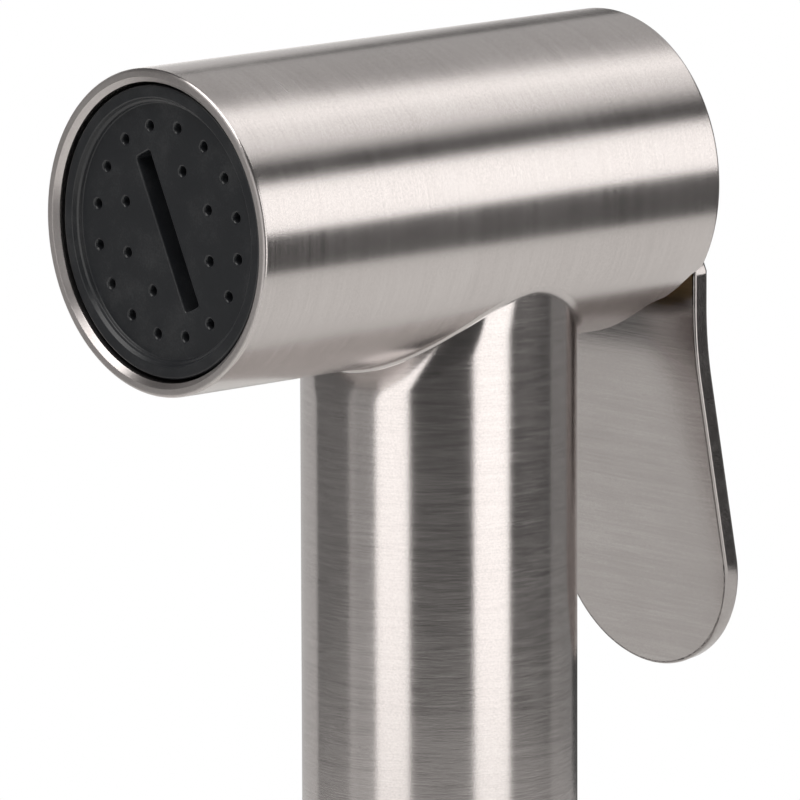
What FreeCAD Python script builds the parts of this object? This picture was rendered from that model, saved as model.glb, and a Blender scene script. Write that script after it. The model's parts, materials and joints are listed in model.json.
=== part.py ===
"""Hand sprayer head with a thumb lever: a brushed steel head tube on a tube handle.

Row frame, in millimetres: +Z runs up the handle, the spray leaves towards -Y and +X is the side.
The origin lies on the handle's axis, in the shoulder that the hose nut comes up to.
Lengths along the head tube are Y values; heights inside the head are counted from its axis.
"""

import FreeCAD, Part
import math
import os

# ---- driving dimensions ----
HEAD_R = 14.0             # outside of the head tube
HEAD_WALL = 1.2
HEAD_FRONT_Y = -32.5      # plane of the spray rim
HEAD_REAR_Y = 20.4        # plane of the open rear end
RIM_EDGE_R = 0.3          # outer edge of the spray rim
RIM_BEVEL = 0.45          # bevel from the rim into the bore
HANDLE_R = 12.0           # outside of the handle tube
HANDLE_WALL = 1.2
ROOT_GAP = 0.8            # weld root between the handle's saddle end and the head
WELD_FRONT_R = 0.3        # crisp seam in front, ground to a soft blend behind
WELD_REAR_R = 2.0
WELD_CHANGE_Y = -5.0
AXIS_Z = 112.0            # the head's axis above the hose shoulder
RUNNING = 0.05            # radial clearance of a shaft in its bore
EASY = 0.1                # clearance of a screwed or dropped-in piece

# ---- inlet ----
THREAD_R = 10.478         # half-inch parallel pipe thread, crest
THREAD_DEPTH = 1.162
THREAD_PITCH = 1.814
THREAD_LENGTH = 9.5
THREAD_LEAD_IN = 0.5      # axial length of the chamfer on the first turn
CREST_LAND = 0.3
SHANK = 1.0               # plain land between the last turn and the shoulder
COLLAR_HEIGHT = 2.4
COLLAR_GROOVE = 0.35
INLET_BORE_R = 7.5
SPIGOT_LENGTH = 10.0      # nipple inside the handle tube
FILTER_SEAT_R = 8.3
FILTER_DEPTH = 3.0

# ---- spray face ----
FACE_R = 12.5
FACE_SETBACK = 0.67       # flange behind the rim plane
FIELD_SETBACK = 1.42      # hole field behind the rim plane
FIELD_R = 10.95
FLANGE_INNER_R = 11.45
FACE_THICKNESS = 2.6
SKIRT_WALL = 0.9
SPRAY_HOLE_R = 0.4
OUTER_HOLES_R = 9.03
OUTER_HOLES = 16
OUTER_HOLES_START = 103.9
INNER_HOLES_R = 5.67
INNER_HOLES = 8
INNER_HOLES_START = 69.97
SLOT_LENGTH = 14.1
SLOT_WIDTH = 1.85
SLOT_CORNER_R = 0.25
SLOT_DEPTH = 2.1
SLOT_ANGLE = 116.0
COLLAR_REAR_Y = -16.0     # brazed ring in the bore that the face and the valve clamp
COLLAR_LENGTH = 4.0
COLLAR_BORE_R = 11.6

# ---- valve ----
VALVE_REAR_Y = 10.9
NOSE_R = 11.3
NOSE_Y = -24.5
CHAMBER_R = 9.5           # dry chamber behind the spray face
SEAT_Y = -6.5             # rear face of the wall that carries the seat
SEAT_WALL = 2.5
SEAT_R = 3.0
SEAT_LIP = 0.5
WATER_R = 6.5
WATER_REAR_Y = 4.0
PORTS = 6
PORT_R = 1.9
GALLERY_R = 10.4          # ring channel that the ports open into
GALLERY_FRONT_Y = -4.5
GALLERY_REAR_Y = 3.5
O_RING_R = 0.9
O_RING_GROOVE_R = 11.0
O_RING_GROOVE_WIDTH = 2.4
FRONT_O_RING_Y = -11.4
REAR_O_RING_Y = 7.8
GLAND_R = 7.4
GLAND_REAR_Y = 10.0
STEM_R = 3.0
STEM_SEAL_R = 0.68
STEM_SEAL_Y = 7.1
STEM_ROD_R = 2.6
STEM_STEP_Y = 12.5
STEM_REAR_Y = 19.2
POPPET_R = 5.2
POPPET_THICKNESS = 1.6
WASHER_R = 4.8
WASHER_THICKNESS = 1.8
SCREW_R = 1.2
SCREW_HEAD_R = 2.3
SPRING_R = 4.3
SPRING_WIRE_R = 0.35
SPRING_TURNS = 5
WIRE_SIDES = 8

# ---- lever ----
LEVER_THICKNESS = 1.6
LEVER_HALF_WIDTH = 10.8
LEVER_FRONT_Y = 20.35     # front face of its round top
LEVER_TOP_R = 12.1        # round top in the head's rear end
LEVER_TIP = -45.1         # its lower end, from the head's axis
LEVER_EDGE = 0.35         # rounding of its edges
FIRST_BEND = (-14.6, 37.0, math.atan(0.19))     # height, radius and slope after it
SECOND_BEND = (-35.5, 60.0, math.atan(0.145))
SHOULDER = ((10.05, -6.74), (10.8, -8.1))       # half width and height where the plate widens
PIVOT_Y = 17.6
PIVOT_HEIGHT = -6.2       # hinge below the head's axis
PIN_R = 1.0
PIVOT_PIN_HALF = 8.4
PULL_PIN_HALF = 4.9
EAR_INNER_X = 3.2
EAR_THICKNESS = 1.4
EAR_R = 2.2
SLOT_RISE = 0.2           # how far the pull pin climbs in its slot
CARRIER_R = 12.7
CARRIER_REAR_Y = 13.2
LUG_X = (5.0, 8.4)
LUG_R = 2.2
NOTCH = ((16.0, -15.5), (16.0, -11.6), (16.6, -10.6), (18.0, -10.1), (18.8, -9.2),
         (19.4, -8.1), (20.5, -7.35), (22.0, -7.35), (22.0, -15.5))

# ---- derived ----
HEAD_BORE_R = HEAD_R - HEAD_WALL
HANDLE_BORE_R = HANDLE_R - HANDLE_WALL
FACE_Y = HEAD_FRONT_Y + FACE_SETBACK
FIELD_Y = HEAD_FRONT_Y + FIELD_SETBACK
COLLAR_FRONT_Y = COLLAR_REAR_Y - COLLAR_LENGTH
WASHER_FRONT_Y = SEAT_Y + SEAT_LIP
POPPET_FRONT_Y = WASHER_FRONT_Y + WASHER_THICKNESS
POPPET_REAR_Y = POPPET_FRONT_Y + POPPET_THICKNESS
SCREW_END_Y = POPPET_REAR_Y + 3.0
SEAL_THICKNESS = 0.6
WATER_OPENING_R = 8.0
UP = FreeCAD.Vector(0, 0, 1)
BACK = FreeCAD.Vector(0, 1, 0)
SIDE = FreeCAD.Vector(1, 0, 0)


# ---- helpers ----
def at(x, y, height):
    """A point given by its height above the head's axis."""
    return FreeCAD.Vector(x, y, AXIS_Z + height)


def along_head(r, y0, y1, x=0.0, height=0.0):
    return Part.makeCylinder(r, y1 - y0, at(x, y0, height), BACK)


def head_ring(outer, inner, y0, y1):
    return along_head(outer, y0, y1).cut(along_head(inner, y0 - 1, y1 + 1))


def along_handle(r, z0, z1):
    return Part.makeCylinder(r, z1 - z0, FreeCAD.Vector(0, 0, z0), UP)


def across(r, x0, x1, y, height):
    return Part.makeCylinder(r, x1 - x0, at(x0, y, height), SIDE)


def block(x0, x1, y0, y1, h0, h1):
    return Part.makeBox(x1 - x0, y1 - y0, h1 - h0, at(x0, y0, h0))


def o_ring(major, minor, y):
    return Part.makeTorus(major, minor, at(0, y, 0), BACK)


def cone_y(r0, r1, y0, y1):
    """A cone about the head's axis, of radius r0 at y0 and r1 at y1."""
    return Part.makeCone(r0, r1, y1 - y0, at(0, y0, 0), BACK)


def both_sides(shape):
    return shape.fuse(shape.mirror(FreeCAD.Vector(0, 0, 0), SIDE))


def union(shapes):
    return shapes[0].multiFuse(shapes[1:]).removeSplitter()


def circles_at(shape, y, radii):
    """The full-circle edges about the head's axis that lie at y."""
    found = []
    for edge in shape.Edges:
        if not isinstance(edge.Curve, Part.Circle):
            continue
        if abs(edge.Curve.Center.y - y) < 1e-6 and any(abs(edge.Curve.Radius - r) < 1e-6 for r in radii):
            found.append(edge)
    return found


def prism_x(points, half_width):
    """The closed outline of (y, height) points, as thick as the two half widths."""
    wire = Part.makePolygon([at(-half_width, y, h) for y, h in points + points[:1]])
    return Part.Face(wire).extrude(SIDE * (2 * half_width))


# ---- head and handle ----
def head_tube():
    tube = head_ring(HEAD_R, HEAD_BORE_R, HEAD_FRONT_Y, HEAD_REAR_Y)
    tube = tube.makeFillet(RIM_EDGE_R, circles_at(tube, HEAD_FRONT_Y, [HEAD_R]))
    tube = tube.makeChamfer(RIM_BEVEL, circles_at(tube, HEAD_FRONT_Y, [HEAD_BORE_R]))
    tube = tube.makeFillet(0.35, circles_at(tube, HEAD_REAR_Y, [HEAD_R]))
    tube = tube.makeFillet(0.2, circles_at(tube, HEAD_REAR_Y, [HEAD_BORE_R]))
    tube = tube.cut(along_handle(WATER_OPENING_R, AXIS_Z - HEAD_R - 1, AXIS_Z - 5))
    return tube.cut(prism_x(list(NOTCH), HEAD_R + 1))


def handle_tube():
    foot = COLLAR_HEIGHT
    tube = along_handle(HANDLE_R, foot, AXIS_Z).cut(along_handle(HANDLE_BORE_R, foot - 1, AXIS_Z + 1))
    return tube.cut(along_head(HEAD_R + ROOT_GAP, HEAD_FRONT_Y, HEAD_REAR_Y))


def saddle_fillet(y0, y1, r0, r1):
    """The weld's fillet between the tubes on the +X side from y0 to y1, growing from r0 to r1."""
    window = block(0, HEAD_R + 5, y0, y1, -40, 0)
    solid = along_head(HEAD_R, -30, 30).fuse(along_handle(HANDLE_R, AXIS_Z - 60, AXIS_Z))
    solid = solid.removeSplitter().common(window)
    for edge in solid.Edges:
        middle = edge.valueAt((edge.FirstParameter + edge.LastParameter) / 2)
        from_head = math.hypot(middle.x, middle.z - AXIS_Z)
        from_handle = math.hypot(middle.x, middle.y)
        if abs(from_head - HEAD_R) < 1e-3 and abs(from_handle - HANDLE_R) < 1e-3 and middle.x > 1e-3:
            ahead = edge.valueAt(edge.FirstParameter).y < edge.valueAt(edge.LastParameter).y
            radii = (r0, r1) if ahead else (r1, r0)
            filled = solid.makeFillet(radii[0], radii[1], [edge])
            rest = filled.cut(along_head(HEAD_R, -30, 30))
            return rest.cut(along_handle(HANDLE_R, AXIS_Z - 60, AXIS_Z))
    raise ValueError("the saddle edge was not found")


def weld_root():
    """The ring of weld metal that fills the gap between the handle's saddle end and the head tube."""
    ring = along_handle(HANDLE_R, AXIS_Z - 30, AXIS_Z).cut(along_handle(HANDLE_BORE_R, AXIS_Z - 31, AXIS_Z + 1))
    near_head = along_head(HEAD_R + ROOT_GAP, HEAD_FRONT_Y, HEAD_REAR_Y)
    return ring.common(near_head).cut(along_head(HEAD_R, HEAD_FRONT_Y - 1, HEAD_REAR_Y + 1))


def neck_weld():
    front = saddle_fillet(-20, WELD_CHANGE_Y, WELD_FRONT_R, WELD_FRONT_R)
    rear = saddle_fillet(WELD_CHANGE_Y, 19, WELD_FRONT_R, WELD_REAR_R)
    return both_sides(front.fuse(rear)).fuse(weld_root()).removeSplitter()


def bore_collar():
    return head_ring(HEAD_BORE_R, COLLAR_BORE_R, COLLAR_FRONT_Y, COLLAR_REAR_Y)


# ---- inlet ----
def thread_groove(z):
    """A ring of V section about the handle's axis, whose lower flank starts at z."""
    half = (THREAD_PITCH - CREST_LAND) / 2
    root = THREAD_R - THREAD_DEPTH
    out = THREAD_R + 0.5
    slope = half * out / THREAD_R
    points = [(root, z + half), (out, z + half - slope), (out, z + half + slope)]
    wire = Part.makePolygon([FreeCAD.Vector(r, 0, h) for r, h in points + points[:1]])
    return Part.Face(wire).revolve(FreeCAD.Vector(0, 0, 0), UP, 360)


def inlet_nipple():
    body = along_handle(THREAD_R, -THREAD_LENGTH, 0).fuse(along_handle(HANDLE_R, 0, COLLAR_HEIGHT))
    body = body.fuse(along_handle(HANDLE_BORE_R - RUNNING, COLLAR_HEIGHT, COLLAR_HEIGHT + SPIGOT_LENGTH))
    lead = Part.makeCone(THREAD_R - THREAD_LEAD_IN, THREAD_R, THREAD_LEAD_IN,
                         FreeCAD.Vector(0, 0, -THREAD_LENGTH), UP)
    body = body.cut(along_handle(THREAD_R + 1, -THREAD_LENGTH, -THREAD_LENGTH + THREAD_LEAD_IN).cut(lead))
    turns = int((THREAD_LENGTH - THREAD_LEAD_IN - SHANK) / THREAD_PITCH)
    for turn in range(turns):
        body = body.cut(thread_groove(-SHANK - THREAD_PITCH * (turn + 1) + CREST_LAND))
    groove = Part.makeTorus(HANDLE_R + 0.1, COLLAR_GROOVE, FreeCAD.Vector(0, 0, COLLAR_HEIGHT), UP)
    body = body.cut(groove)
    seal_z = COLLAR_HEIGHT + SPIGOT_LENGTH / 2
    ring = along_handle(HANDLE_BORE_R + 1, seal_z - 1.1, seal_z + 1.1)
    body = body.cut(ring.cut(along_handle(HANDLE_BORE_R - 1.6, seal_z - 2, seal_z + 2)))
    body = body.cut(along_handle(INLET_BORE_R, -THREAD_LENGTH - 1, COLLAR_HEIGHT + SPIGOT_LENGTH + 1))
    return body.cut(along_handle(FILTER_SEAT_R, -THREAD_LENGTH - 1, -THREAD_LENGTH + FILTER_DEPTH))


def nipple_o_ring():
    z = COLLAR_HEIGHT + SPIGOT_LENGTH / 2
    return Part.makeTorus(HANDLE_BORE_R - 0.8, 0.8, FreeCAD.Vector(0, 0, z), UP)


def inlet_filter_ring():
    base = -THREAD_LENGTH + 0.4
    top = -THREAD_LENGTH + FILTER_DEPTH
    ring = along_handle(FILTER_SEAT_R - RUNNING, base, top).cut(along_handle(6.6, base - 1, top + 1))
    return ring.cut(along_handle(7.2, base + 1.0, base + 1.5))


def inlet_filter_mesh():
    """A disc of crossed wires, held in the ring's groove."""
    z = -THREAD_LENGTH + 0.4 + 1.25
    rim = along_handle(7.15, z - 0.2, z + 0.2).cut(along_handle(6.5, z - 1, z + 1))
    wires = [rim]
    step = 1.1
    for i in range(-5, 6):
        half = math.sqrt(6.9 ** 2 - (i * step) ** 2)
        wires.append(Part.makeBox(2 * half, 0.28, 0.2, FreeCAD.Vector(-half, i * step - 0.14, z - 0.2)))
        wires.append(Part.makeBox(0.28, 2 * half, 0.2, FreeCAD.Vector(i * step - 0.14, -half, z)))
    return union(wires)


# ---- spray face ----
def polar(r, degrees):
    """A point of the spray face, counted from +X towards +Z."""
    angle = math.radians(degrees)
    return r * math.cos(angle), r * math.sin(angle)


def spray_hole(r, degrees):
    x, height = polar(r, degrees)
    hole = along_head(SPRAY_HOLE_R, FIELD_Y - 1, FIELD_Y + FACE_THICKNESS + 1, x, height)
    mouth = Part.makeCone(SPRAY_HOLE_R + 0.25, SPRAY_HOLE_R, 0.25, at(x, FIELD_Y, height), BACK)
    return hole.fuse(mouth)


def coin_slot():
    half = SLOT_LENGTH / 2
    r = SLOT_WIDTH / 2
    bar = block(-half, half, FIELD_Y - 1, FIELD_Y + SLOT_DEPTH, -r, r)
    bar = bar.makeFillet(SLOT_CORNER_R, [e for e in bar.Edges if abs(e.tangentAt(e.FirstParameter).y) > 0.9])
    return bar.rotate(at(0, 0, 0), BACK, -SLOT_ANGLE)


def spray_face():
    back = COLLAR_FRONT_Y - SEAL_THICKNESS
    plate_back = FIELD_Y + FACE_THICKNESS
    body = along_head(FACE_R, FACE_Y, back)
    body = body.makeFillet(0.2, circles_at(body, FACE_Y, [FACE_R]))
    body = body.cut(along_head(FACE_R - SKIRT_WALL, plate_back, back + 1))
    body = body.cut(along_head(FIELD_R, FACE_Y - 1, FIELD_Y))
    body = body.cut(cone_y(FLANGE_INNER_R, FIELD_R, FACE_Y, FACE_Y + 0.75 * (FIELD_Y - FACE_Y)))
    body = body.cut(coin_slot())
    for i in range(OUTER_HOLES):
        body = body.cut(spray_hole(OUTER_HOLES_R, OUTER_HOLES_START + 360 / OUTER_HOLES * i))
    for i in range(INNER_HOLES):
        if i % 4 != 3:
            body = body.cut(spray_hole(INNER_HOLES_R, INNER_HOLES_START - 360 / INNER_HOLES * i))
    return body


def spray_face_seal():
    return head_ring(FACE_R, COLLAR_BORE_R, COLLAR_FRONT_Y - SEAL_THICKNESS, COLLAR_FRONT_Y)


# ---- valve ----
def valve_body():
    body = along_head(HEAD_BORE_R - RUNNING, COLLAR_REAR_Y, VALVE_REAR_Y)
    body = body.fuse(along_head(NOSE_R, NOSE_Y, COLLAR_REAR_Y))
    body = body.cut(along_head(CHAMBER_R, NOSE_Y - 1, SEAT_Y - SEAT_WALL))
    body = body.cut(along_head(SEAT_R, NOSE_Y, SEAT_Y + 1))
    body = body.cut(along_head(WATER_R, SEAT_Y, WATER_REAR_Y))
    body = body.cut(along_head(GLAND_R, WATER_REAR_Y, VALVE_REAR_Y + 1))
    body = body.fuse(head_ring(SEAT_R + 1, SEAT_R, SEAT_Y, SEAT_Y + SEAT_LIP))
    body = body.cut(head_ring(HEAD_R, GALLERY_R, GALLERY_FRONT_Y, GALLERY_REAR_Y))
    half = O_RING_GROOVE_WIDTH / 2
    for y in (FRONT_O_RING_Y, REAR_O_RING_Y):
        body = body.cut(head_ring(HEAD_R, O_RING_GROOVE_R, y - half, y + half))
    for i in range(PORTS):
        port = Part.makeCylinder(PORT_R, HEAD_R, at(0, (GALLERY_FRONT_Y + GALLERY_REAR_Y) / 2, 0), UP)
        body = body.cut(port.rotate(at(0, 0, 0), BACK, 360 / PORTS * i))
    return body


def body_o_ring(y):
    return o_ring(HEAD_BORE_R - O_RING_R, O_RING_R, y)


def gland_nut():
    nut = head_ring(GLAND_R - RUNNING, STEM_R + RUNNING, WATER_REAR_Y + SEAL_THICKNESS, GLAND_REAR_Y)
    nut = nut.cut(head_ring(STEM_SEAL_R * 2 + STEM_R + 0.15, STEM_R, STEM_SEAL_Y - 0.9, STEM_SEAL_Y + 0.9))
    key = block(-1.0, 1.0, GLAND_REAR_Y - 1.2, GLAND_REAR_Y + 1, -HEAD_R, HEAD_R)
    return nut.cut(key)


def gland_washer():
    return head_ring(GLAND_R - EASY, WATER_R - 1.2, WATER_REAR_Y, WATER_REAR_Y + SEAL_THICKNESS)


def stem_o_ring():
    return o_ring(STEM_R + 0.07 + STEM_SEAL_R, STEM_SEAL_R, STEM_SEAL_Y)


def valve_stem():
    stem = along_head(POPPET_R, POPPET_FRONT_Y, POPPET_REAR_Y)
    stem = stem.fuse(along_head(STEM_R, POPPET_REAR_Y, STEM_STEP_Y))
    stem = stem.fuse(along_head(STEM_ROD_R, STEM_STEP_Y, STEM_REAR_Y)).removeSplitter()
    stem = stem.cut(along_head(SCREW_R + RUNNING, POPPET_FRONT_Y - 1, SCREW_END_Y + 0.5))
    return stem.cut(across(PIN_R, -HEAD_R, HEAD_R, PIVOT_Y, 0))


def poppet_washer():
    return head_ring(WASHER_R, SCREW_R + RUNNING, WASHER_FRONT_Y, POPPET_FRONT_Y)


def washer_screw():
    screw = along_head(SCREW_HEAD_R, WASHER_FRONT_Y - 1.2, WASHER_FRONT_Y)
    screw = screw.fuse(along_head(SCREW_R, WASHER_FRONT_Y, SCREW_END_Y)).removeSplitter()
    return screw.cut(block(-0.3, 0.3, WASHER_FRONT_Y - 2, WASHER_FRONT_Y - 0.6, -HEAD_R, HEAD_R))


def return_spring():
    """A coil of eight-sided wire between the poppet's back and the gland."""
    y0 = POPPET_REAR_Y + SPRING_WIRE_R + 0.02
    y1 = WATER_REAR_Y - SPRING_WIRE_R - 0.02
    height = y1 - y0
    helix = Part.makeHelix(height / SPRING_TURNS, height, SPRING_R)
    angles = [2 * math.pi * (k + 0.5) / WIRE_SIDES for k in range(WIRE_SIDES)]
    corners = [FreeCAD.Vector(SPRING_R + SPRING_WIRE_R * math.cos(a), 0, SPRING_WIRE_R * math.sin(a)) for a in angles]
    section = Part.makePolygon(corners + corners[:1])
    coil = Part.Wire(helix.Edges).makePipeShell([section], True, True)
    coil.rotate(FreeCAD.Vector(0, 0, 0), SIDE, -90)
    coil.translate(at(0, y0, 0))
    return coil


# ---- lever ----
def bent_side(offset, lowest):
    """The (y, height) corners and arcs of the plate's side, offset rearwards from its front face."""
    (h1, r1, s1), (h2, r2, s2) = FIRST_BEND, SECOND_BEND
    y1 = LEVER_FRONT_Y
    y2 = y1 + math.tan(s1) * (h1 - h2)
    y3 = y2 + math.tan(s2) * (h2 - lowest)
    # corner of the offset lines at each bend
    def shifted(y, h, a, b):
        middle = (a + b) / 2
        reach = offset / math.cos((b - a) / 2)
        return y + reach * math.cos(middle), h + reach * math.sin(middle)
    c1 = shifted(y1, h1, 0.0, s1)
    c2 = shifted(y2, h2, s1, s2)
    end = (y3 + offset * math.cos(s2), lowest + offset * math.sin(s2))
    start = (y1 + offset, LEVER_TOP_R + 5)
    return start, (c1, r1 - offset, s1), (c2, r2 + offset, s2 - s1, s1), end


def bend_arc(corner, r, a0, a1):
    """The arc of radius r that rounds a corner where the plate turns from slope a0 to slope a1."""
    t = abs(r * math.tan((a1 - a0) / 2))
    y, h = corner
    before = (y - t * math.sin(a0), h + t * math.cos(a0))
    after = (y + t * math.sin(a1), h - t * math.cos(a1))
    middle = (a0 + a1) / 2
    depth = r * (1 / math.cos((a1 - a0) / 2) - 1)
    sign = 1 if a1 > a0 else -1
    inside = (y + sign * depth * math.cos(middle), h + sign * depth * math.sin(middle))
    return before, inside, after


def plate_line(offset, lowest):
    """Edges of one face of the bent plate, from the top down."""
    start, first, second, end = bent_side(offset, lowest)
    b1 = bend_arc(first[0], first[1], 0.0, first[2])
    b2 = bend_arc(second[0], second[1], second[3], second[3] + second[2])
    point = [at(0, y, h) for y, h in (start, *b1, *b2, end)]
    edges = [
        Part.LineSegment(point[0], point[1]).toShape(),
        Part.Arc(point[1], point[2], point[3]).toShape(),
        Part.LineSegment(point[3], point[4]).toShape(),
        Part.Arc(point[4], point[5], point[6]).toShape(),
        Part.LineSegment(point[6], point[7]).toShape(),
    ]
    return edges, point[0], point[7]


def bent_plate():
    lowest = LEVER_TIP - 4
    front, top_front, low_front = plate_line(0.0, lowest)
    rear, top_rear, low_rear = plate_line(LEVER_THICKNESS, lowest)
    closing = [Part.LineSegment(top_front, top_rear).toShape(), Part.LineSegment(low_front, low_rear).toShape()]
    wire = Part.Wire(Part.__sortEdges__(front + rear + closing))
    half = HEAD_R
    return Part.Face(wire).extrude(SIDE * (2 * half)).translate(SIDE * -half)


def lever_outline():
    """The plate seen from behind: a round top, short shoulders, straight sides and a round end."""
    (neck_x, neck_h), (wide_x, wide_h) = SHOULDER
    centre = LEVER_TIP + LEVER_HALF_WIDTH
    y = LEVER_FRONT_Y - 5
    side = [
        Part.LineSegment(at(neck_x, y, neck_h), at(wide_x, y, wide_h)).toShape(),
        Part.LineSegment(at(wide_x, y, wide_h), at(wide_x, y, centre)).toShape(),
    ]
    other = [edge.mirror(FreeCAD.Vector(0, 0, 0), SIDE) for edge in side]
    top = Part.Arc(at(neck_x, y, neck_h), at(0, y, LEVER_TOP_R), at(-neck_x, y, neck_h)).toShape()
    end = Part.Arc(at(wide_x, y, centre), at(0, y, LEVER_TIP), at(-wide_x, y, centre)).toShape()
    wire = Part.Wire(Part.__sortEdges__(side + other + [top, end]))
    return Part.Face(wire).extrude(BACK * 20)


def lever_ear():
    """One of the two forks on the plate's front: hinge hole below, pull slot on the head's axis."""
    x0, x1 = EAR_INNER_X, EAR_INNER_X + EAR_THICKNESS
    root = LEVER_FRONT_Y + LEVER_THICKNESS / 2
    ear = union([
        block(x0, x1, PIVOT_Y, root, PIVOT_HEIGHT - EAR_R, EAR_R),
        block(x0, x1, PIVOT_Y - EAR_R, PIVOT_Y, PIVOT_HEIGHT, 0),
        across(EAR_R, x0, x1, PIVOT_Y, PIVOT_HEIGHT),
        across(EAR_R, x0, x1, PIVOT_Y, 0),
    ])
    ear = ear.cut(across(PIN_R + RUNNING, x0 - 1, x1 + 1, PIVOT_Y, PIVOT_HEIGHT))
    play = PIN_R + 0.08
    slot = union([
        across(play, x0 - 1, x1 + 1, PIVOT_Y, 0),
        across(play, x0 - 1, x1 + 1, PIVOT_Y, SLOT_RISE),
        block(x0 - 1, x1 + 1, PIVOT_Y - play, PIVOT_Y + play, 0, SLOT_RISE),
    ])
    return ear.cut(slot)


def lever():
    plate = bent_plate().common(lever_outline())
    edges = [e for e in plate.Edges if not is_bend_line(e)]
    plate = plate.makeFillet(LEVER_EDGE, edges)
    return union([plate, both_sides(lever_ear())])


def is_bend_line(edge):
    """True for the tangent lines across the plate and the short lines through its thickness."""
    first = edge.valueAt(edge.FirstParameter)
    last = edge.valueAt(edge.LastParameter)
    if not isinstance(edge.Curve, Part.Line):
        return False
    across_plate = abs(first.x - last.x) > 5 and abs(first.z - last.z) < 1e-6
    through_plate = edge.Length < LEVER_THICKNESS * 1.1
    return across_plate or through_plate


def pivot_pin():
    return across(PIN_R, -PIVOT_PIN_HALF, PIVOT_PIN_HALF, PIVOT_Y, PIVOT_HEIGHT)


def pull_pin():
    return across(PIN_R, -PULL_PIN_HALF, PULL_PIN_HALF, PIVOT_Y, 0)


def lever_carrier():
    disc = along_head(CARRIER_R, VALVE_REAR_Y + RUNNING, CARRIER_REAR_Y)
    boss = along_head(GLAND_R - EASY, GLAND_REAR_Y + EASY, VALVE_REAR_Y + RUNNING)
    x0, x1 = LUG_X
    lug = union([
        block(x0, x1, CARRIER_REAR_Y - 1, PIVOT_Y, PIVOT_HEIGHT - LUG_R, PIVOT_HEIGHT + LUG_R),
        across(LUG_R, x0, x1, PIVOT_Y, PIVOT_HEIGHT),
    ])
    carrier = union([disc, boss, lug, lug.mirror(FreeCAD.Vector(0, 0, 0), SIDE)])
    carrier = carrier.cut(along_head(STEM_R + 0.4, VALVE_REAR_Y - 2, CARRIER_REAR_Y + 1))
    return carrier.cut(across(PIN_R, -HEAD_R, HEAD_R, PIVOT_Y, PIVOT_HEIGHT))


NODES = {
    "head_tube": head_tube,
    "handle_tube": handle_tube,
    "neck_weld": neck_weld,
    "bore_collar": bore_collar,
    "inlet_nipple": inlet_nipple,
    "nipple_o_ring": nipple_o_ring,
    "inlet_filter_ring": inlet_filter_ring,
    "inlet_filter_mesh": inlet_filter_mesh,
    "spray_face": spray_face,
    "spray_face_seal": spray_face_seal,
    "valve_body": valve_body,
    "body_front_o_ring": lambda: body_o_ring(FRONT_O_RING_Y),
    "body_rear_o_ring": lambda: body_o_ring(REAR_O_RING_Y),
    "gland_nut": gland_nut,
    "gland_washer": gland_washer,
    "stem_o_ring": stem_o_ring,
    "valve_stem": valve_stem,
    "poppet_washer": poppet_washer,
    "washer_screw": washer_screw,
    "return_spring": return_spring,
    "lever": lever,
    "pivot_pin": pivot_pin,
    "pull_pin": pull_pin,
    "lever_carrier": lever_carrier,
}


def main():
    os.makedirs("parts", exist_ok=True)
    for name, make in NODES.items():
        shape = make()
        box = shape.BoundBox
        print(f"{name}: {len(shape.Solids)} solid, valid {shape.isValid()}, {shape.Volume:.1f} mm3,"
              f" y {box.YMin:.2f}..{box.YMax:.2f}, z {box.ZMin:.2f}..{box.ZMax:.2f}")
        shape.exportStep(f"parts/{name}.step")


main()
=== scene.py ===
import json
import logging
import math
from dataclasses import dataclass, field
from enum import Enum

import bmesh
import bpy
import numpy as np
from mathutils import Matrix, Vector


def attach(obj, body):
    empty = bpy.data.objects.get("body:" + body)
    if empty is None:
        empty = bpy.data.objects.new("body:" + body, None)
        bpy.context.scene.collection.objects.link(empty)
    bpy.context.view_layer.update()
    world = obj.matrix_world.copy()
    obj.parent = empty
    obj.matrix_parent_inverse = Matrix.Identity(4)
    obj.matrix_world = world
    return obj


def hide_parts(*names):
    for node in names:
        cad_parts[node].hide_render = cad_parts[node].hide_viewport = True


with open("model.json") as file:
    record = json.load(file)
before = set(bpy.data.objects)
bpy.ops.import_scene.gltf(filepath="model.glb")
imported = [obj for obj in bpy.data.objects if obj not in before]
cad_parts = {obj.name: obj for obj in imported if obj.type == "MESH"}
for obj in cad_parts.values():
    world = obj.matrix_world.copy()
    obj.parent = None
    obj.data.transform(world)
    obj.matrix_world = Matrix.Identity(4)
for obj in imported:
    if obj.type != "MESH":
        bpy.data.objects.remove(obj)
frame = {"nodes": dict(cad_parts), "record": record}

LOG = logging.getLogger("scene")
MM = 0.001
AXIS_Z = 112.0            # the head's axis above the hose shoulder, mm
HEAD_R = 14.0
HEAD_BORE_R = 12.8
HANDLE_R = 12.0
HANDLE_BORE_R = 10.8
HANDLE_EDGE = 0.2         # rounding of the handle's lower end outside
HANDLE_BORE_EDGE = 0.15   # and in its bore
HINGE_Y = 17.6            # the lever's hinge behind the handle's axis
HINGE_HEIGHT = -6.2       # the lever's hinge from the head's axis
TURN_STEPS = 288          # divisions round the tubes
ARC_STEPS = 6             # divisions of a rounded corner
CORNER_POINTS = ARC_STEPS + 3
HOLD_SHARE = 0.25         # how far an arc's close neighbours stand off, as a share of its radius

Point = tuple[float, float]
Colour = tuple[float, float, float]


class Body(Enum):
    """Bodies of the frame that pieces ride on."""

    SPRAYER = "sprayer"
    LEVER = "thumb_lever"


class Grain(Enum):
    """Directions of a brushed finish, as the stretch of its pattern in 1/mm along x, y and z."""

    ROUND_HEAD = (0.13, 5.0, 0.13)
    ROUND_HANDLE = (0.4, 0.4, 7.0)
    ACROSS_LEVER = (0.14, 4.5, 4.5)
    SATIN = (2.2, 2.2, 2.2)


class Axis(Enum):
    """Axes that a turned form is made about."""

    HEAD = "head"
    HANDLE = "handle"


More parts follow.
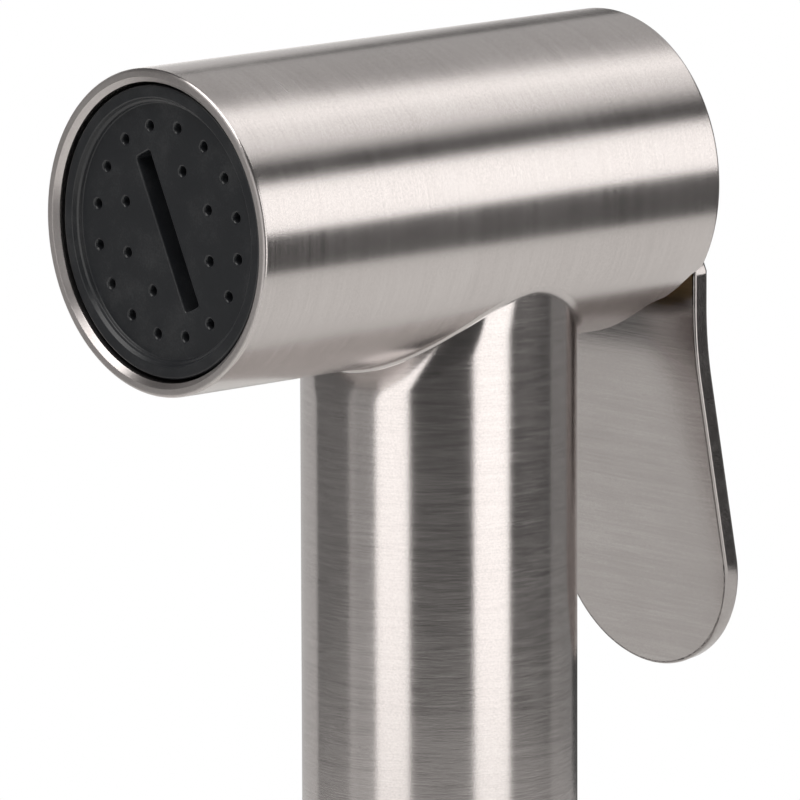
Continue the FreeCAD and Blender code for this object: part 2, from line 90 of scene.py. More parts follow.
# ---- outlines ----
def rounded(points: list[Point], radii: list[float], closed: bool = True,
            steps: int = ARC_STEPS) -> list[Point]:
    """Rounds the corners of a flat line.

    Args:
        points: The corners in order.
        radii: A radius for each corner, 0 for a sharp one.
        closed: Whether the last corner joins the first.
        steps: Divisions of each arc.

    Returns:
        The points of the rounded line, with a close neighbour on each side of an arc to hold its shading.
    """
    out: list[Point] = []
    count = len(points)
    for i, (corner, r) in enumerate(zip(points, radii)):
        ends = not closed and i in (0, count - 1)
        if r <= 0 or ends:
            out.append(corner)
            continue
        here = np.array(corner, float)
        before = np.array(points[i - 1], float) - here
        after = np.array(points[(i + 1) % count], float) - here
        a = before / np.linalg.norm(before)
        b = after / np.linalg.norm(after)
        half = math.acos(max(-1.0, min(1.0, float(a @ b)))) / 2
        reach = r / math.tan(half)
        middle = (a + b) / np.linalg.norm(a + b)
        centre = here + middle * r / math.sin(half)
        start = here + a * reach
        stop = here + b * reach
        out.append(tuple(start + a * HOLD_SHARE * r))
        sweep = math.pi - 2 * half
        u = (start - centre) / r
        v = (stop - centre) / r
        for k in range(steps + 1):
            t = k / steps
            blend = (u * math.sin((1 - t) * sweep) + v * math.sin(t * sweep)) / math.sin(sweep)
            out.append(tuple(centre + blend * r))
        out.append(tuple(stop + b * HOLD_SHARE * r))
    return out


def placed(points: np.ndarray, axis: Axis) -> np.ndarray:
    """Takes (across, along, up) points of a turned form to the frame, in mm.

    Args:
        points: Array of (a, b, s), with s along the axis and a, b across it.
        axis: The axis of the form.

    Returns:
        Array of frame positions in mm.
    """
    a, b, s = points[..., 0], points[..., 1], points[..., 2]
    if axis is Axis.HEAD:
        return np.stack([a, s, b + AXIS_Z], -1)
    return np.stack([a, b, s], -1)


# ---- meshes ----
class Sculptor:
    """Turns arrays of points into mesh objects in metres."""

    @staticmethod
    def from_lists(name: str, vertices: np.ndarray, faces: list[tuple[int, ...]]) -> bpy.types.Object:
        """Makes an object from vertices in mm and faces.

        Args:
            name: Name of the piece.
            vertices: Array of positions in mm.
            faces: Vertex numbers of each face.

        Returns:
            The new object, smooth shaded, with its faces turned outwards.
        """
        mesh = bpy.data.meshes.new(name)
        mesh.from_pydata([tuple(v) for v in (np.asarray(vertices) * MM)], [], faces)
        mesh.validate()
        work = bmesh.new()
        work.from_mesh(mesh)
        bmesh.ops.remove_doubles(work, verts=work.verts, dist=1e-7)
        bmesh.ops.recalc_face_normals(work, faces=work.faces)
        work.to_mesh(mesh)
        work.free()
        mesh.polygons.foreach_set("use_smooth", [True] * len(mesh.polygons))
        piece = bpy.data.objects.new(name, mesh)
        bpy.context.scene.collection.objects.link(piece)
        return piece

    @staticmethod
    def grid(name: str, rows: np.ndarray) -> bpy.types.Object:
        """Makes a form closed both ways from a grid of points.

        Args:
            name: Name of the piece.
            rows: Array of shape (rows, columns, 3) in mm; both directions wrap round.

        Returns:
            The new object.
        """
        m, n = rows.shape[:2]
        faces = []
        for i in range(m):
            for j in range(n):
                k, q = (i + 1) % m, (j + 1) % n
                faces.append((i * n + j, k * n + j, k * n + q, i * n + q))
        return Sculptor.from_lists(name, rows.reshape(-1, 3), faces)

    @staticmethod
    def skin(rings: int, count: int) -> list[tuple[int, ...]]:
        """Gives the faces over a stack of rings, with both ends capped.

        Args:
            rings: Number of rings.
            count: Vertices of each ring.

        Returns:
            Vertex numbers of each face.
        """
        faces = []
        for i in range(rings - 1):
            for k in range(count):
                q = (k + 1) % count
                faces.append((i * count + k, i * count + q, (i + 1) * count + q, (i + 1) * count + k))
        faces.append(tuple(range(count)))
        faces.append(tuple(range((rings - 1) * count, rings * count)))
        return faces

    @staticmethod
    def turned(name: str, profile: list[Point], axis: Axis) -> bpy.types.Object:
        """Turns a closed (radius, position) outline about an axis.

        Args:
            name: Name of the piece.
            profile: The closed outline in mm; points on the axis are allowed.
            axis: The axis to turn it about.

        Returns:
            The new object.
        """
        line = np.array(profile, float)
        angles = np.linspace(0, 2 * math.pi, TURN_STEPS, endpoint=False)
        cos, sin = np.cos(angles)[:, None], np.sin(angles)[:, None]
        along = np.broadcast_to(line[:, 1], (TURN_STEPS, len(line)))
        points = np.stack([line[:, 0] * cos, line[:, 0] * sin, along], -1)
        return Sculptor.grid(name, placed(points, axis))

    @staticmethod
    def prism(name: str, outline: list[Point], low: float, high: float, bevel: float) -> bpy.types.Object:
        """Extrudes a (y, height) outline along x, with rounded edges.

        Args:
            name: Name of the piece.
            outline: The closed outline in mm, its height from the head's axis.
            low: Lowest x in mm.
            high: Highest x in mm.
            bevel: Rounding of the two outlines' edges in mm.

        Returns:
            The new object.
        """
        count = len(outline)
        line = np.array(outline, float)
        nxt = np.roll(line, -1, 0) - line
        prv = line - np.roll(line, 1, 0)
        way = nxt / np.linalg.norm(nxt, axis=1)[:, None] + prv / np.linalg.norm(prv, axis=1)[:, None]
        way /= np.linalg.norm(way, axis=1)[:, None]
        area = float(np.sum(line[:, 0] * np.roll(line[:, 1], -1) - np.roll(line[:, 0], -1) * line[:, 1]))
        inward = np.stack([-way[:, 1], way[:, 0]], 1) * (1 if area > 0 else -1)
        loops = []
        for x, side in ((low, 1), (high, -1)):
            ring = []
            for turn in np.linspace(0, math.pi / 2, 5):
                inset = line + inward * bevel * (1 - math.sin(turn))
                depth = bevel * (1 - math.cos(turn))
                ring.append(np.column_stack([np.full(count, x + side * depth), inset]))
            loops += ring if side == 1 else ring[::-1]
        rows = np.array(loops)
        rows[..., 2] += AXIS_Z
        return Sculptor.from_lists(name, rows.reshape(-1, 3), Sculptor.skin(len(rows), count))

    @staticmethod
    def cut(piece: bpy.types.Object, cutter: bpy.types.Object) -> None:
        """Takes a cutter's volume out of a piece and removes the cutter.

        Args:
            piece: The piece to cut.
            cutter: The closed form to take out.
        """
        tool = piece.modifiers.new("cut", "BOOLEAN")
        tool.operation = "DIFFERENCE"
        tool.solver = "EXACT"
        tool.use_self = False
        tool.object = cutter
        Sculptor.settle(piece)
        bpy.data.objects.remove(cutter)

    @staticmethod
    def settle(piece: bpy.types.Object) -> None:
        """Replaces a piece's mesh by the result of its modifiers.

        Args:
            piece: The piece whose modifiers are applied.
        """
        graph = bpy.context.evaluated_depsgraph_get()
        mesh = bpy.data.meshes.new_from_object(piece.evaluated_get(graph))
        piece.modifiers.clear()
        old = piece.data
        piece.data = mesh
        bpy.data.meshes.remove(old)
        mesh.name = piece.name

    @staticmethod
    def crisp(piece: bpy.types.Object, degrees: float = 32.0) -> None:
        """Keeps flat faces flat in the shading and edges over an angle sharp.

        Args:
            piece: The piece to set.
            degrees: The angle from which an edge is sharp.
        """
        mesh = piece.data
        mesh.polygons.foreach_set("use_smooth", [True] * len(mesh.polygons))
        mesh.set_sharp_from_angle(angle=math.radians(degrees))
        weighted = piece.modifiers.new("weighted", "WEIGHTED_NORMAL")
        weighted.mode = "FACE_AREA"
        weighted.weight = 60
        weighted.keep_sharp = True
        Sculptor.settle(piece)

    @staticmethod
    def flatten(piece: bpy.types.Object, way: Vector) -> None:
        """Gives the faces that look straight one way their own flat normal.

        Args:
            piece: The piece to set.
            way: The direction that they face.
        """
        mesh = piece.data
        normals = [tuple(corner.vector) for corner in mesh.corner_normals]
        for face in mesh.polygons:
            if face.normal.dot(way) > 0.9999:
                for corner in face.loop_indices:
                    normals[corner] = tuple(way)
        mesh.normals_split_custom_set(normals)

    @staticmethod
    def joined(name: str, pieces: list[bpy.types.Object]) -> bpy.types.Object:
        """Joins pieces into one object.

        Args:
            name: Name of the joined piece.
            pieces: The pieces to join; all but the first are removed.

        Returns:
            The joined object.
        """
        work = bmesh.new()
        for piece in pieces:
            work.from_mesh(piece.data)
        first = pieces[0]
        work.to_mesh(first.data)
        work.free()
        for piece in pieces[1:]:
            bpy.data.objects.remove(piece)
        first.name = name
        first.data.name = name
        return first


# ---- shader effects shared by the finishes ----
class Tree:
    """A small builder of shader nodes in one node tree."""

    def __init__(self, nodes_of: bpy.types.NodeTree) -> None:
        """Starts with an empty tree.

        Args:
            nodes_of: The tree to build in.
        """
        self.tree = nodes_of
        self.tree.nodes.clear()

    def node(self, kind: str, **values: object) -> bpy.types.Node:
        """Adds a node.

        Args:
            kind: Type of the node, without its "ShaderNode" start.
            **values: Properties of the node.

        Returns:
            The new node.
        """
        new = self.tree.nodes.new("ShaderNode" + kind)
        for key, value in values.items():
            setattr(new, key, value)
        return new

    def feed(self, socket: bpy.types.NodeSocket, value: object) -> None:
        """Sets a socket to a constant or links it to an output.

        Args:
            socket: The input.
            value: A number, a vector, a colour or an output socket.
        """
        if isinstance(value, bpy.types.NodeSocket):
            self.tree.links.new(value, socket)
        else:
            socket.default_value = value

    def math(self, operation: str, a: object, b: object = 0.0, clamp: bool = False) -> bpy.types.NodeSocket:
        """Adds a Math node.

        Args:
            operation: The operation.
            a: First number or output.
            b: Second number or output.
            clamp: Whether the result is kept within 0 and 1.

        Returns:
            The result's socket.
        """
        new = self.node("Math", operation=operation, use_clamp=clamp)
        self.feed(new.inputs[0], a)
        self.feed(new.inputs[1], b)
        return new.outputs[0]

    def mix(self, factor: object, a: object, b: object) -> bpy.types.NodeSocket:
        """Adds a colour Mix node.

        Args:
            factor: Share of the second colour.
            a: First colour or output.
            b: Second colour or output.

        Returns:
            The result's socket.
        """
        new = self.node("Mix", data_type="RGBA")
        self.feed(new.inputs[0], factor)
        self.feed(new.inputs[6], a)
        self.feed(new.inputs[7], b)
        return new.outputs[2]

    def noise(self, vector: object, scale: float, detail: float, rough: float = 0.55) -> bpy.types.NodeSocket:
        """Adds a Noise Texture centred on 0.

        Args:
            vector: Output with the coordinates.
            scale: Scale of the noise.
            detail: Octaves.
            rough: Roughness of the noise.

        Returns:
            A socket that varies about 0, mostly within -0.5 and 0.5.
        """
        new = self.node("TexNoise")
        self.feed(new.inputs["Vector"], vector)
        new.inputs["Scale"].default_value = scale
        new.inputs["Detail"].default_value = detail
        new.inputs["Roughness"].default_value = rough
        return self.math("SUBTRACT", new.outputs[0], 0.5)

    def spread(self, value: object, low: float, high: float) -> bpy.types.NodeSocket:
        """Adds a smooth step from 0 at low to 1 at high.

        Args:
            value: The output to shape.
            low: Where the step starts.
            high: Where it ends.

        Returns:
            The step's socket.
        """
        new = self.node("MapRange", interpolation_type="SMOOTHSTEP")
        self.feed(new.inputs["Value"], value)
        new.inputs["From Min"].default_value = low
        new.inputs["From Max"].default_value = high
        return new.outputs["Result"]


class Effects:
    """Node groups that the finishes share; they output colours, values and heights only."""

    def __init__(self) -> None:
        """Builds every group once."""
        self.metal = self._metal()
        self.turned = self._turned()
        self.moulded = self._moulded()

    @staticmethod
    def _group(name: str, inputs: list[tuple[str, str, object]]
               ) -> tuple[bpy.types.NodeTree, Tree, bpy.types.Node]:
        """Starts a group with its sockets.

        Args:
            name: Name of the group.
            inputs: Name, socket kind and default of each input.

        Returns:
            The group, its builder and its input node.
        """
        group = bpy.data.node_groups.new(name, "ShaderNodeTree")
        for label, kind, default in inputs:
            made = group.interface.new_socket(label, in_out="INPUT", socket_type="NodeSocket" + kind)
            made.default_value = default
        group.interface.new_socket("Colour", in_out="OUTPUT", socket_type="NodeSocketColor")
        group.interface.new_socket("Roughness", in_out="OUTPUT", socket_type="NodeSocketFloat")
        group.interface.new_socket("Height", in_out="OUTPUT", socket_type="NodeSocketFloat")
        tree = Tree(group)
        return group, tree, group.nodes.new("NodeGroupInput")

    @staticmethod
    def _finish(tree: Tree, colour: object, roughness: object, height: object) -> None:
        """Feeds a group's three outputs.

        Args:
            tree: The group's builder.
            colour: The colour.
            roughness: The roughness.
            height: The bump height.
        """
        out = tree.tree.nodes.new("NodeGroupOutput")
        for socket, value in zip(out.inputs, (colour, roughness, height)):
            tree.feed(socket, value)

    @staticmethod
    def _millimetres(tree: Tree) -> bpy.types.NodeSocket:
        """Adds object coordinates in mm.

        Args:
            tree: The builder.

        Returns:
            The vector's socket.
        """
        place = tree.node("TexCoord")
        scale = tree.node("VectorMath", operation="SCALE")
        tree.feed(scale.inputs[0], place.outputs["Object"])
        scale.inputs["Scale"].default_value = 1000.0
        return scale.outputs[0]

    def _metal(self) -> bpy.types.NodeTree:
        """Builds the brushed metal: hair lines, fine speckle, broad cloudiness and light soiling.

        Returns:
            The group.
        """
        group, tree, given = self._group("brushed_metal", [
            ("Base", "Color", (0.6, 0.58, 0.55, 1)),
            ("Roughness", "Float", 0.3),
            ("Stretch", "Vector", (1.0, 1.0, 1.0)),
            ("Lines", "Float", 1.0),
            ("Speckle", "Float", 1.0),
            ("Cloud", "Float", 1.0),
        ])
        place = self._millimetres(tree)
        drawn = tree.node("VectorMath", operation="MULTIPLY")
        tree.feed(drawn.inputs[0], place)
        tree.feed(drawn.inputs[1], given.outputs["Stretch"])
        hair = tree.noise(drawn.outputs[0], 1.0, 4.0, 0.62)
        broad = tree.noise(drawn.outputs[0], 0.22, 2.0)
        lines = tree.math("ADD", tree.math("MULTIPLY", hair, 0.9), tree.math("MULTIPLY", broad, 0.5))
        lines = tree.math("MULTIPLY", lines, given.outputs["Lines"])
        grit = tree.noise(place, 5.5, 3.0, 0.7)
        speckle = tree.math("MULTIPLY", grit, given.outputs["Speckle"])
        cloud = tree.math("MULTIPLY", tree.noise(place, 0.09, 3.0), given.outputs["Cloud"])
        tone = tree.math("ADD", tree.math("MULTIPLY", lines, 0.34), tree.math("MULTIPLY", speckle, 0.20))
        tone = tree.math("ADD", tone, tree.math("MULTIPLY", cloud, 0.16))
        light = tree.mix(tree.math("MULTIPLY", tone, 1.5, True), given.outputs["Base"], (1.0, 0.99, 0.97, 1))
        dark = tree.math("MULTIPLY", tone, -1.6, True)
        colour = tree.mix(dark, light, (0.12, 0.11, 0.105, 1))
        soil = tree.spread(tree.noise(place, 0.35, 4.0, 0.6), 0.12, 0.42)
        colour = tree.mix(tree.math("MULTIPLY", soil, 0.10), colour, (0.34, 0.29, 0.25, 1))
        rough = tree.math("ADD", given.outputs["Roughness"], tree.math("MULTIPLY", lines, 0.16))
        rough = tree.math("ADD", rough, tree.math("MULTIPLY", cloud, 0.10))
        rough = tree.math("ADD", rough, tree.math("MULTIPLY", soil, 0.05))
        height = tree.math("ADD", lines, tree.math("MULTIPLY", speckle, 0.4))
        self._finish(tree, colour, rough, height)
        return group

    def _turned(self) -> bpy.types.NodeTree:
        """Builds the turned metal: fine tool rings along an axis, stains and light pitting.

        Returns:
            The group.
        """
        group, tree, given = self._group("turned_metal", [
            ("Base", "Color", (0.6, 0.58, 0.55, 1)),
            ("Roughness", "Float", 0.3),
            ("Stretch", "Vector", (0.05, 0.05, 7.0)),
            ("Stain", "Float", 0.5),
        ])
        place = self._millimetres(tree)
        drawn = tree.node("VectorMath", operation="MULTIPLY")
        tree.feed(drawn.inputs[0], place)
        tree.feed(drawn.inputs[1], given.outputs["Stretch"])
        rings = tree.noise(drawn.outputs[0], 1.0, 4.0, 0.6)
        stain = tree.spread(tree.noise(place, 0.5, 4.0, 0.62), 0.0, 0.3)
        stain = tree.math("MULTIPLY", stain, given.outputs["Stain"])
        pits = tree.spread(tree.noise(place, 7.0, 2.0), 0.18, 0.34)
        colour = tree.mix(tree.math("MULTIPLY", rings, 0.8, True), given.outputs["Base"], (1.0, 0.97, 0.9, 1))
        colour = tree.mix(stain, colour, (0.20, 0.15, 0.10, 1))
        colour = tree.mix(tree.math("MULTIPLY", pits, 0.35), colour, (0.08, 0.07, 0.06, 1))
        rough = tree.math("ADD", given.outputs["Roughness"], tree.math("MULTIPLY", rings, 0.22))
        rough = tree.math("ADD", rough, tree.math("MULTIPLY", stain, 0.25))
        height = tree.math("SUBTRACT", rings, tree.math("MULTIPLY", pits, 0.6))
        self._finish(tree, colour, rough, height)
        return group

    def _moulded(self) -> bpy.types.NodeTree:
        """Builds the moulded plastic or rubber: fine grain, flow cloud and dust.

        Returns:
            The group.
        """
        group, tree, given = self._group("moulded", [
            ("Base", "Color", (0.02, 0.02, 0.02, 1)),
            ("Roughness", "Float", 0.4),
            ("Grain", "Float", 6.0),
            ("Dust", "Float", 0.3),
        ])
        place = self._millimetres(tree)
        fine = tree.node("TexNoise")
        tree.feed(fine.inputs["Vector"], place)
        tree.feed(fine.inputs["Scale"], given.outputs["Grain"])
        fine.inputs["Detail"].default_value = 3.0
        grain = tree.math("SUBTRACT", fine.outputs[0], 0.5)
        cloud = tree.noise(place, 0.28, 3.0)
        dust = tree.spread(tree.noise(place, 3.1, 4.0, 0.72), 0.16, 0.4)
        dust = tree.math("MULTIPLY", dust, given.outputs["Dust"])
        shade = tree.math("ADD", tree.math("MULTIPLY", cloud, 0.5), tree.math("MULTIPLY", grain, 0.35))
        colour = tree.mix(tree.math("MULTIPLY", shade, 0.25, True), given.outputs["Base"], (0.5, 0.5, 0.5, 1))
        colour = tree.mix(tree.math("MULTIPLY", dust, 0.10), colour, (0.42, 0.41, 0.39, 1))
        rough = tree.math("ADD", given.outputs["Roughness"], tree.math("MULTIPLY", cloud, 0.16))
        rough = tree.math("ADD", rough, tree.math("MULTIPLY", dust, 0.2))
        self._finish(tree, colour, rough, grain)
        return group


@dataclass(frozen=True)
class Metal:
    """A brushed or ground metal.

    Its tangent is the axis along which its highlights are drawn out.
    """

    slot: str
    base: Colour
    roughness: float
    grain: Grain
    tangent: tuple[float, float, float] | None = None
    anisotropy: float = 0.0
    lines: float = 1.0
    speckle: float = 1.0
    cloud: float = 1.0
    bump: float = 0.06
    ring_centre: tuple[float, float, float] | None = None

    def rings(self, tree: Tree, surface: bpy.types.Node, drawn: bpy.types.NodeSocket) -> bpy.types.NodeSocket:
        """Turns the tangent outwards from the axis on faces that are square to it, as on a turned end.

        Such a face is also rougher than the rest.

        Args:
            tree: The material's builder.
            surface: The material's shader.
            drawn: The tangent elsewhere.

        Returns:
            The tangent for every face.
        """
        place = tree.node("TexCoord")
        outwards = tree.node("VectorMath", operation="SUBTRACT")
        tree.feed(outwards.inputs[0], place.outputs["Object"])
        outwards.inputs[1].default_value = self.ring_centre
        flat = tree.node("VectorMath", operation="MULTIPLY")
        tree.feed(flat.inputs[0], outwards.outputs[0])
        flat.inputs[1].default_value = tuple(100.0 * (1 - abs(v)) for v in self.tangent)
        square = tree.node("VectorMath", operation="DOT_PRODUCT")
        tree.feed(square.inputs[0], place.outputs["Normal"])
        square.inputs[1].default_value = self.tangent
        share = tree.spread(tree.math("ABSOLUTE", square.outputs["Value"]), 0.6, 0.8)
        plain = surface.inputs["Roughness"].links[0].from_socket
        tree.feed(surface.inputs["Roughness"], tree.math("ADD", plain, tree.math("MULTIPLY", share, 0.2)))
        either = tree.node("Mix", data_type="VECTOR")
        tree.feed(either.inputs[0], share)
        tree.feed(either.inputs[4], drawn)
        tree.feed(either.inputs[5], flat.outputs[0])
        return either.outputs[1]

    def material(self, effects: Effects) -> bpy.types.Material:
        """Builds the material.

        Args:
            effects: The shared node groups.

        Returns:
            The new material.
        """
        made, tree, surface = start_material(self.slot)
        look = add_look(tree, effects.metal, self.base, Roughness=self.roughness, Stretch=self.grain.value,
                        Lines=self.lines, Speckle=self.speckle, Cloud=self.cloud)
        surface.inputs["Metallic"].default_value = 1.0
        dress_surface(tree, surface, look, self.bump, 0.00004)
        if self.tangent is not None:
            surface.inputs["Anisotropic"].default_value = self.anisotropy
            way = tree.node("CombineXYZ")
            for socket, value in zip(way.inputs, self.tangent):
                socket.default_value = value
            drawn = way.outputs[0]
            if self.ring_centre is not None:
                drawn = self.rings(tree, surface, drawn)
            to_world = tree.node("VectorTransform", vector_type="VECTOR")
            to_world.convert_from = "OBJECT"
            to_world.convert_to = "WORLD"
            tree.feed(to_world.inputs[0], drawn)
            tree.feed(surface.inputs["Tangent"], to_world.outputs[0])
        return made


@dataclass(frozen=True)
class Turned:
    """A metal turned on a lathe, with rings across its axis."""

    slot: str
    base: Colour
    roughness: float
    stretch: tuple[float, float, float]
    stain: float = 0.3
    bump: float = 0.12

    def material(self, effects: Effects) -> bpy.types.Material:
        """Builds the material.

        Args:
            effects: The shared node groups.

        Returns:
            The new material.
        """
        made, tree, surface = start_material(self.slot)
        look = add_look(tree, effects.turned, self.base, Roughness=self.roughness, Stretch=self.stretch,
                        Stain=self.stain)
        surface.inputs["Metallic"].default_value = 1.0
        dress_surface(tree, surface, look, self.bump, 0.00005)
        return made


@dataclass(frozen=True)
class Moulded:
    """A moulded plastic or rubber."""

    slot: str
    base: Colour
    roughness: float
    grain: float = 6.0
    dust: float = 0.3
    specular: float = 0.5
    bump: float = 0.12

    def material(self, effects: Effects) -> bpy.types.Material:
        """Builds the material.

        Args:
            effects: The shared node groups.

        Returns:
            The new material.
        """
        made, tree, surface = start_material(self.slot)
        look = add_look(tree, effects.moulded, self.base, Roughness=self.roughness, Grain=self.grain,
                        Dust=self.dust)
        surface.inputs["Specular IOR Level"].default_value = self.specular
        dress_surface(tree, surface, look, self.bump, 0.00006)
        return made


def start_material(name: str) -> tuple[bpy.types.Material, Tree, bpy.types.Node]:
    """Starts a material with a surface shader.

    Args:
        name: Name of the material.

    Returns:
        The material, its builder and its Principled node.
    """
    made = bpy.data.materials.new(name)
    made.use_nodes = True
    tree = Tree(made.node_tree)
    surface = tree.node("BsdfPrincipled")
    out = tree.node("OutputMaterial")
    tree.feed(out.inputs[0], surface.outputs[0])
    return made, tree, surface


def add_look(tree: Tree, effect: bpy.types.NodeTree, base: Colour, **settings: object) -> bpy.types.Node:
    """Adds an effect's group to a material and sets its inputs.

    Args:
        tree: The material's builder.
        effect: The effect's group.
        base: The base colour.
        **settings: Values of the group's other inputs.

    Returns:
        The group node.
    """
    look = tree.node("Group", node_tree=effect)
    look.inputs["Base"].default_value = (*base, 1)
    for name, value in settings.items():
        look.inputs[name].default_value = value
    return look


def dress_surface(tree: Tree, surface: bpy.types.Node, look: bpy.types.Node, bump: float,
                  depth: float) -> None:
    """Feeds a surface shader from an effect's outputs.

    Args:
        tree: The material's builder.
        surface: The Principled node.
        look: The effect's group node.
        bump: Strength of the bump.
        depth: Distance of the bump in metres.
    """
    tree.feed(surface.inputs["Base Color"], look.outputs["Colour"])
    tree.feed(surface.inputs["Roughness"], look.outputs["Roughness"])
    relief = tree.node("Bump")
    relief.inputs["Strength"].default_value = bump
    relief.inputs["Distance"].default_value = depth
    tree.feed(relief.inputs["Height"], look.outputs["Height"])
    tree.feed(surface.inputs["Normal"], relief.outputs[0])


STEEL: Colour = (0.60, 0.563, 0.553)
FINISHES = (
    Metal("brushed_head_steel", STEEL, 0.24, Grain.ROUND_HEAD, (0.0, 1.0, 0.0), 0.65, lines=0.6, speckle=1.4,
          cloud=0.9, bump=0.09, ring_centre=(0.0, 0.0, 0.112)),
    Metal("brushed_handle_steel", STEEL, 0.19, Grain.ROUND_HANDLE, (0.0, 0.0, 1.0), 0.6, lines=0.7,
          speckle=1.5, cloud=0.9, bump=0.12),
    # The lever's steel has a darker base colour than the head and handle steel. This is painted shade for the
    # shade the lever sits in, between the handle and the head.
    Metal("brushed_lever_steel", (0.44, 0.412, 0.405), 0.17, Grain.ACROSS_LEVER, (0.0, 0.0, 1.0), 0.3,
          lines=0.8, speckle=1.0, bump=0.12),
    Metal("ground_weld", (0.58, 0.545, 0.535), 0.26, Grain.SATIN, lines=0.4, speckle=1.0, bump=0.06),
    Metal("plain_steel", (0.58, 0.57, 0.56), 0.28, Grain.SATIN, lines=0.6, speckle=0.6),
    Turned("turned_steel", (0.60, 0.58, 0.56), 0.24, (0.05, 0.05, 7.0)),
    Turned("valve_brass", (0.78, 0.56, 0.26), 0.28, (0.05, 7.0, 0.05), 0.35),
    Moulded("black_plastic", (0.018, 0.0195, 0.0225), 0.33, 7.0, 0.5),
    Moulded("filter_plastic", (0.55, 0.57, 0.58), 0.42, 4.0, 0.4),
    Moulded("seal_rubber", (0.018, 0.018, 0.018), 0.55, 5.0, 0.8, 0.35),
)


class Wardrobe:
    """Holds one material for each of the record's slots."""

    def __init__(self) -> None:
        """Builds the shared effects and every finish."""
        effects = Effects()
        self.materials = {finish.slot: finish.material(effects) for finish in FINISHES}

    def dress(self, piece: bpy.types.Object, slot: str) -> None:
        """Gives a piece the material of a slot.

        Args:
            piece: The piece.
            slot: Name of the material slot.
        """
        piece.data.materials.clear()
        piece.data.materials.append(self.materials[slot])

    def dress_frame_node(self, node: bpy.types.Object, slot: str) -> None:
        """Gives a node of the frame the material of its slot, on the object and not on its mesh.

        Args:
            node: The frame's object.
            slot: Name of the material slot.
        """
        if not node.data.materials:
            node.data.materials.append(None)
        for holder in node.material_slots:
            holder.link = "OBJECT"
            holder.material = self.materials[slot]


# ---- sub-assemblies ----
@dataclass
class Assembly:
    """What every sub-assembly needs: the materials and the log of its pieces."""

    wardrobe: Wardrobe
    pieces: list[bpy.types.Object] = field(default_factory=list)

    def place(self, piece: bpy.types.Object, body: Body, slot: str, *nodes: str) -> bpy.types.Object:
        """Dresses a piece, lets it stand for its nodes and lets it ride on its body.

        Args:
            piece: The new piece.
            body: The body that it rides on.
            slot: Its material slot.
            *nodes: The frame's nodes that it stands for.

        Returns:
            The piece.
        """
        self.wardrobe.dress(piece, slot)
        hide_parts(*nodes)
        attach(piece, body.value)
        self.pieces.append(piece)
        return piece


@dataclass
class HeadTube(Assembly):
    """The head's tube: a front rim bevelled inwards and a rear end notched for the lever."""

    front: float = -32.5
    front_edge: float = 0.3
    bevel: float = 0.45
    bevel_edge: float = 0.07
    rear_edge: float = 0.32
    notch: tuple[Point, ...] = (
        (16.0, -15.5), (16.0, -11.6), (16.6, -10.6), (18.0, -10.1), (18.8, -9.2), (19.4, -8.1), (20.4, -7.4),
    )

    def rear_at(self, height: np.ndarray) -> np.ndarray:
        """Gives the rear end's position at heights from the head's axis.

        Args:
            height: Heights in mm.

        Returns:
            The end's y in mm.
        """
        heights = [h for _, h in self.notch]
        return np.interp(height, heights, [y for y, _ in self.notch])

    def angles(self) -> np.ndarray:
        """Gives the angles round the tube, close together at the notch.

        Returns:
            Angles in radians, counted from +X upwards.
        """
        plain = np.radians(np.linspace(-25, 205, 185, endpoint=False))
        right = np.radians(np.linspace(-62, -25, 120, endpoint=False))
        left = np.radians(np.linspace(205, 242, 120, endpoint=False))
        below = np.radians(np.linspace(242, 298, 45, endpoint=False))
        return np.concatenate([right, plain, left, below])

    def build(self) -> bpy.types.Object:
        """Builds the tube as one closed grid.

        Returns:
            The head's piece.
        """
        rows = []
        for angle in self.angles():
            high = math.sin(angle)
            outer_end = float(self.rear_at(np.array(HEAD_R * high)))
            inner_end = float(self.rear_at(np.array(HEAD_BORE_R * high)))
            corners = [
                (HEAD_BORE_R, self.front + self.bevel), (HEAD_BORE_R + self.bevel, self.front),
                (HEAD_R, self.front), (HEAD_R, outer_end), (HEAD_BORE_R, inner_end),
            ]
            line = rounded(corners, [self.bevel_edge, self.bevel_edge, self.front_edge, self.rear_edge, 0.2])
            middle = [(HEAD_R, y) for y in np.linspace(self.front + 2, 14.0, 24)]
            front_end = 3 * CORNER_POINTS
            line = line[:front_end] + middle + line[front_end:]
            rows.append([(r * math.cos(angle), r * high, s) for r, s in line])
        piece = Sculptor.grid("head_tube_body", placed(np.array(rows), Axis.HEAD))
        return self.place(piece, Body.SPRAYER, "brushed_head_steel", "head_tube")


@dataclass(frozen=True)
class Shoulder:
    """The handle's rounded shoulder below the seam, where grinding took it in."""

    depth: float = 0.8
    length: float = 3.3
    shares: tuple[Point, ...] = ((0, 0.9), (30, 1.0), (50, 0.75), (66, 0.3), (92, 0.0))

    def taken(self, degrees: float) -> float:
        """Gives how far the handle's end is taken in.

        Args:
            degrees: Angle from +X in degrees, -90 in front.

        Returns:
            The depth in mm.
        """
        turns, shares = zip(*self.shares)
        return self.depth * float(np.interp(from_front(degrees), turns, shares))

    def radius(self, degrees: float, z: float) -> float:
        """Gives the handle's outer radius near the seam.

        Args:
            degrees: Angle from +X in degrees.
            z: Height from the head's axis in mm.

        Returns:
            The radius in mm.
        """
        seam = -math.sqrt(HEAD_R ** 2 - (HANDLE_R * math.cos(math.radians(degrees))) ** 2)
        near = max(0.0, 1 - (seam - z) / self.length)
        return HANDLE_R - self.taken(degrees) * near ** 2


def from_front(degrees: float) -> float:
    """Gives an angle's distance from the front of the handle.

    Args:
        degrees: Angle from +X in degrees, -90 in front.

    Returns:
        The distance, 0 to 180 degrees.
    """
    return abs((degrees + 90 + 180) % 360 - 180)


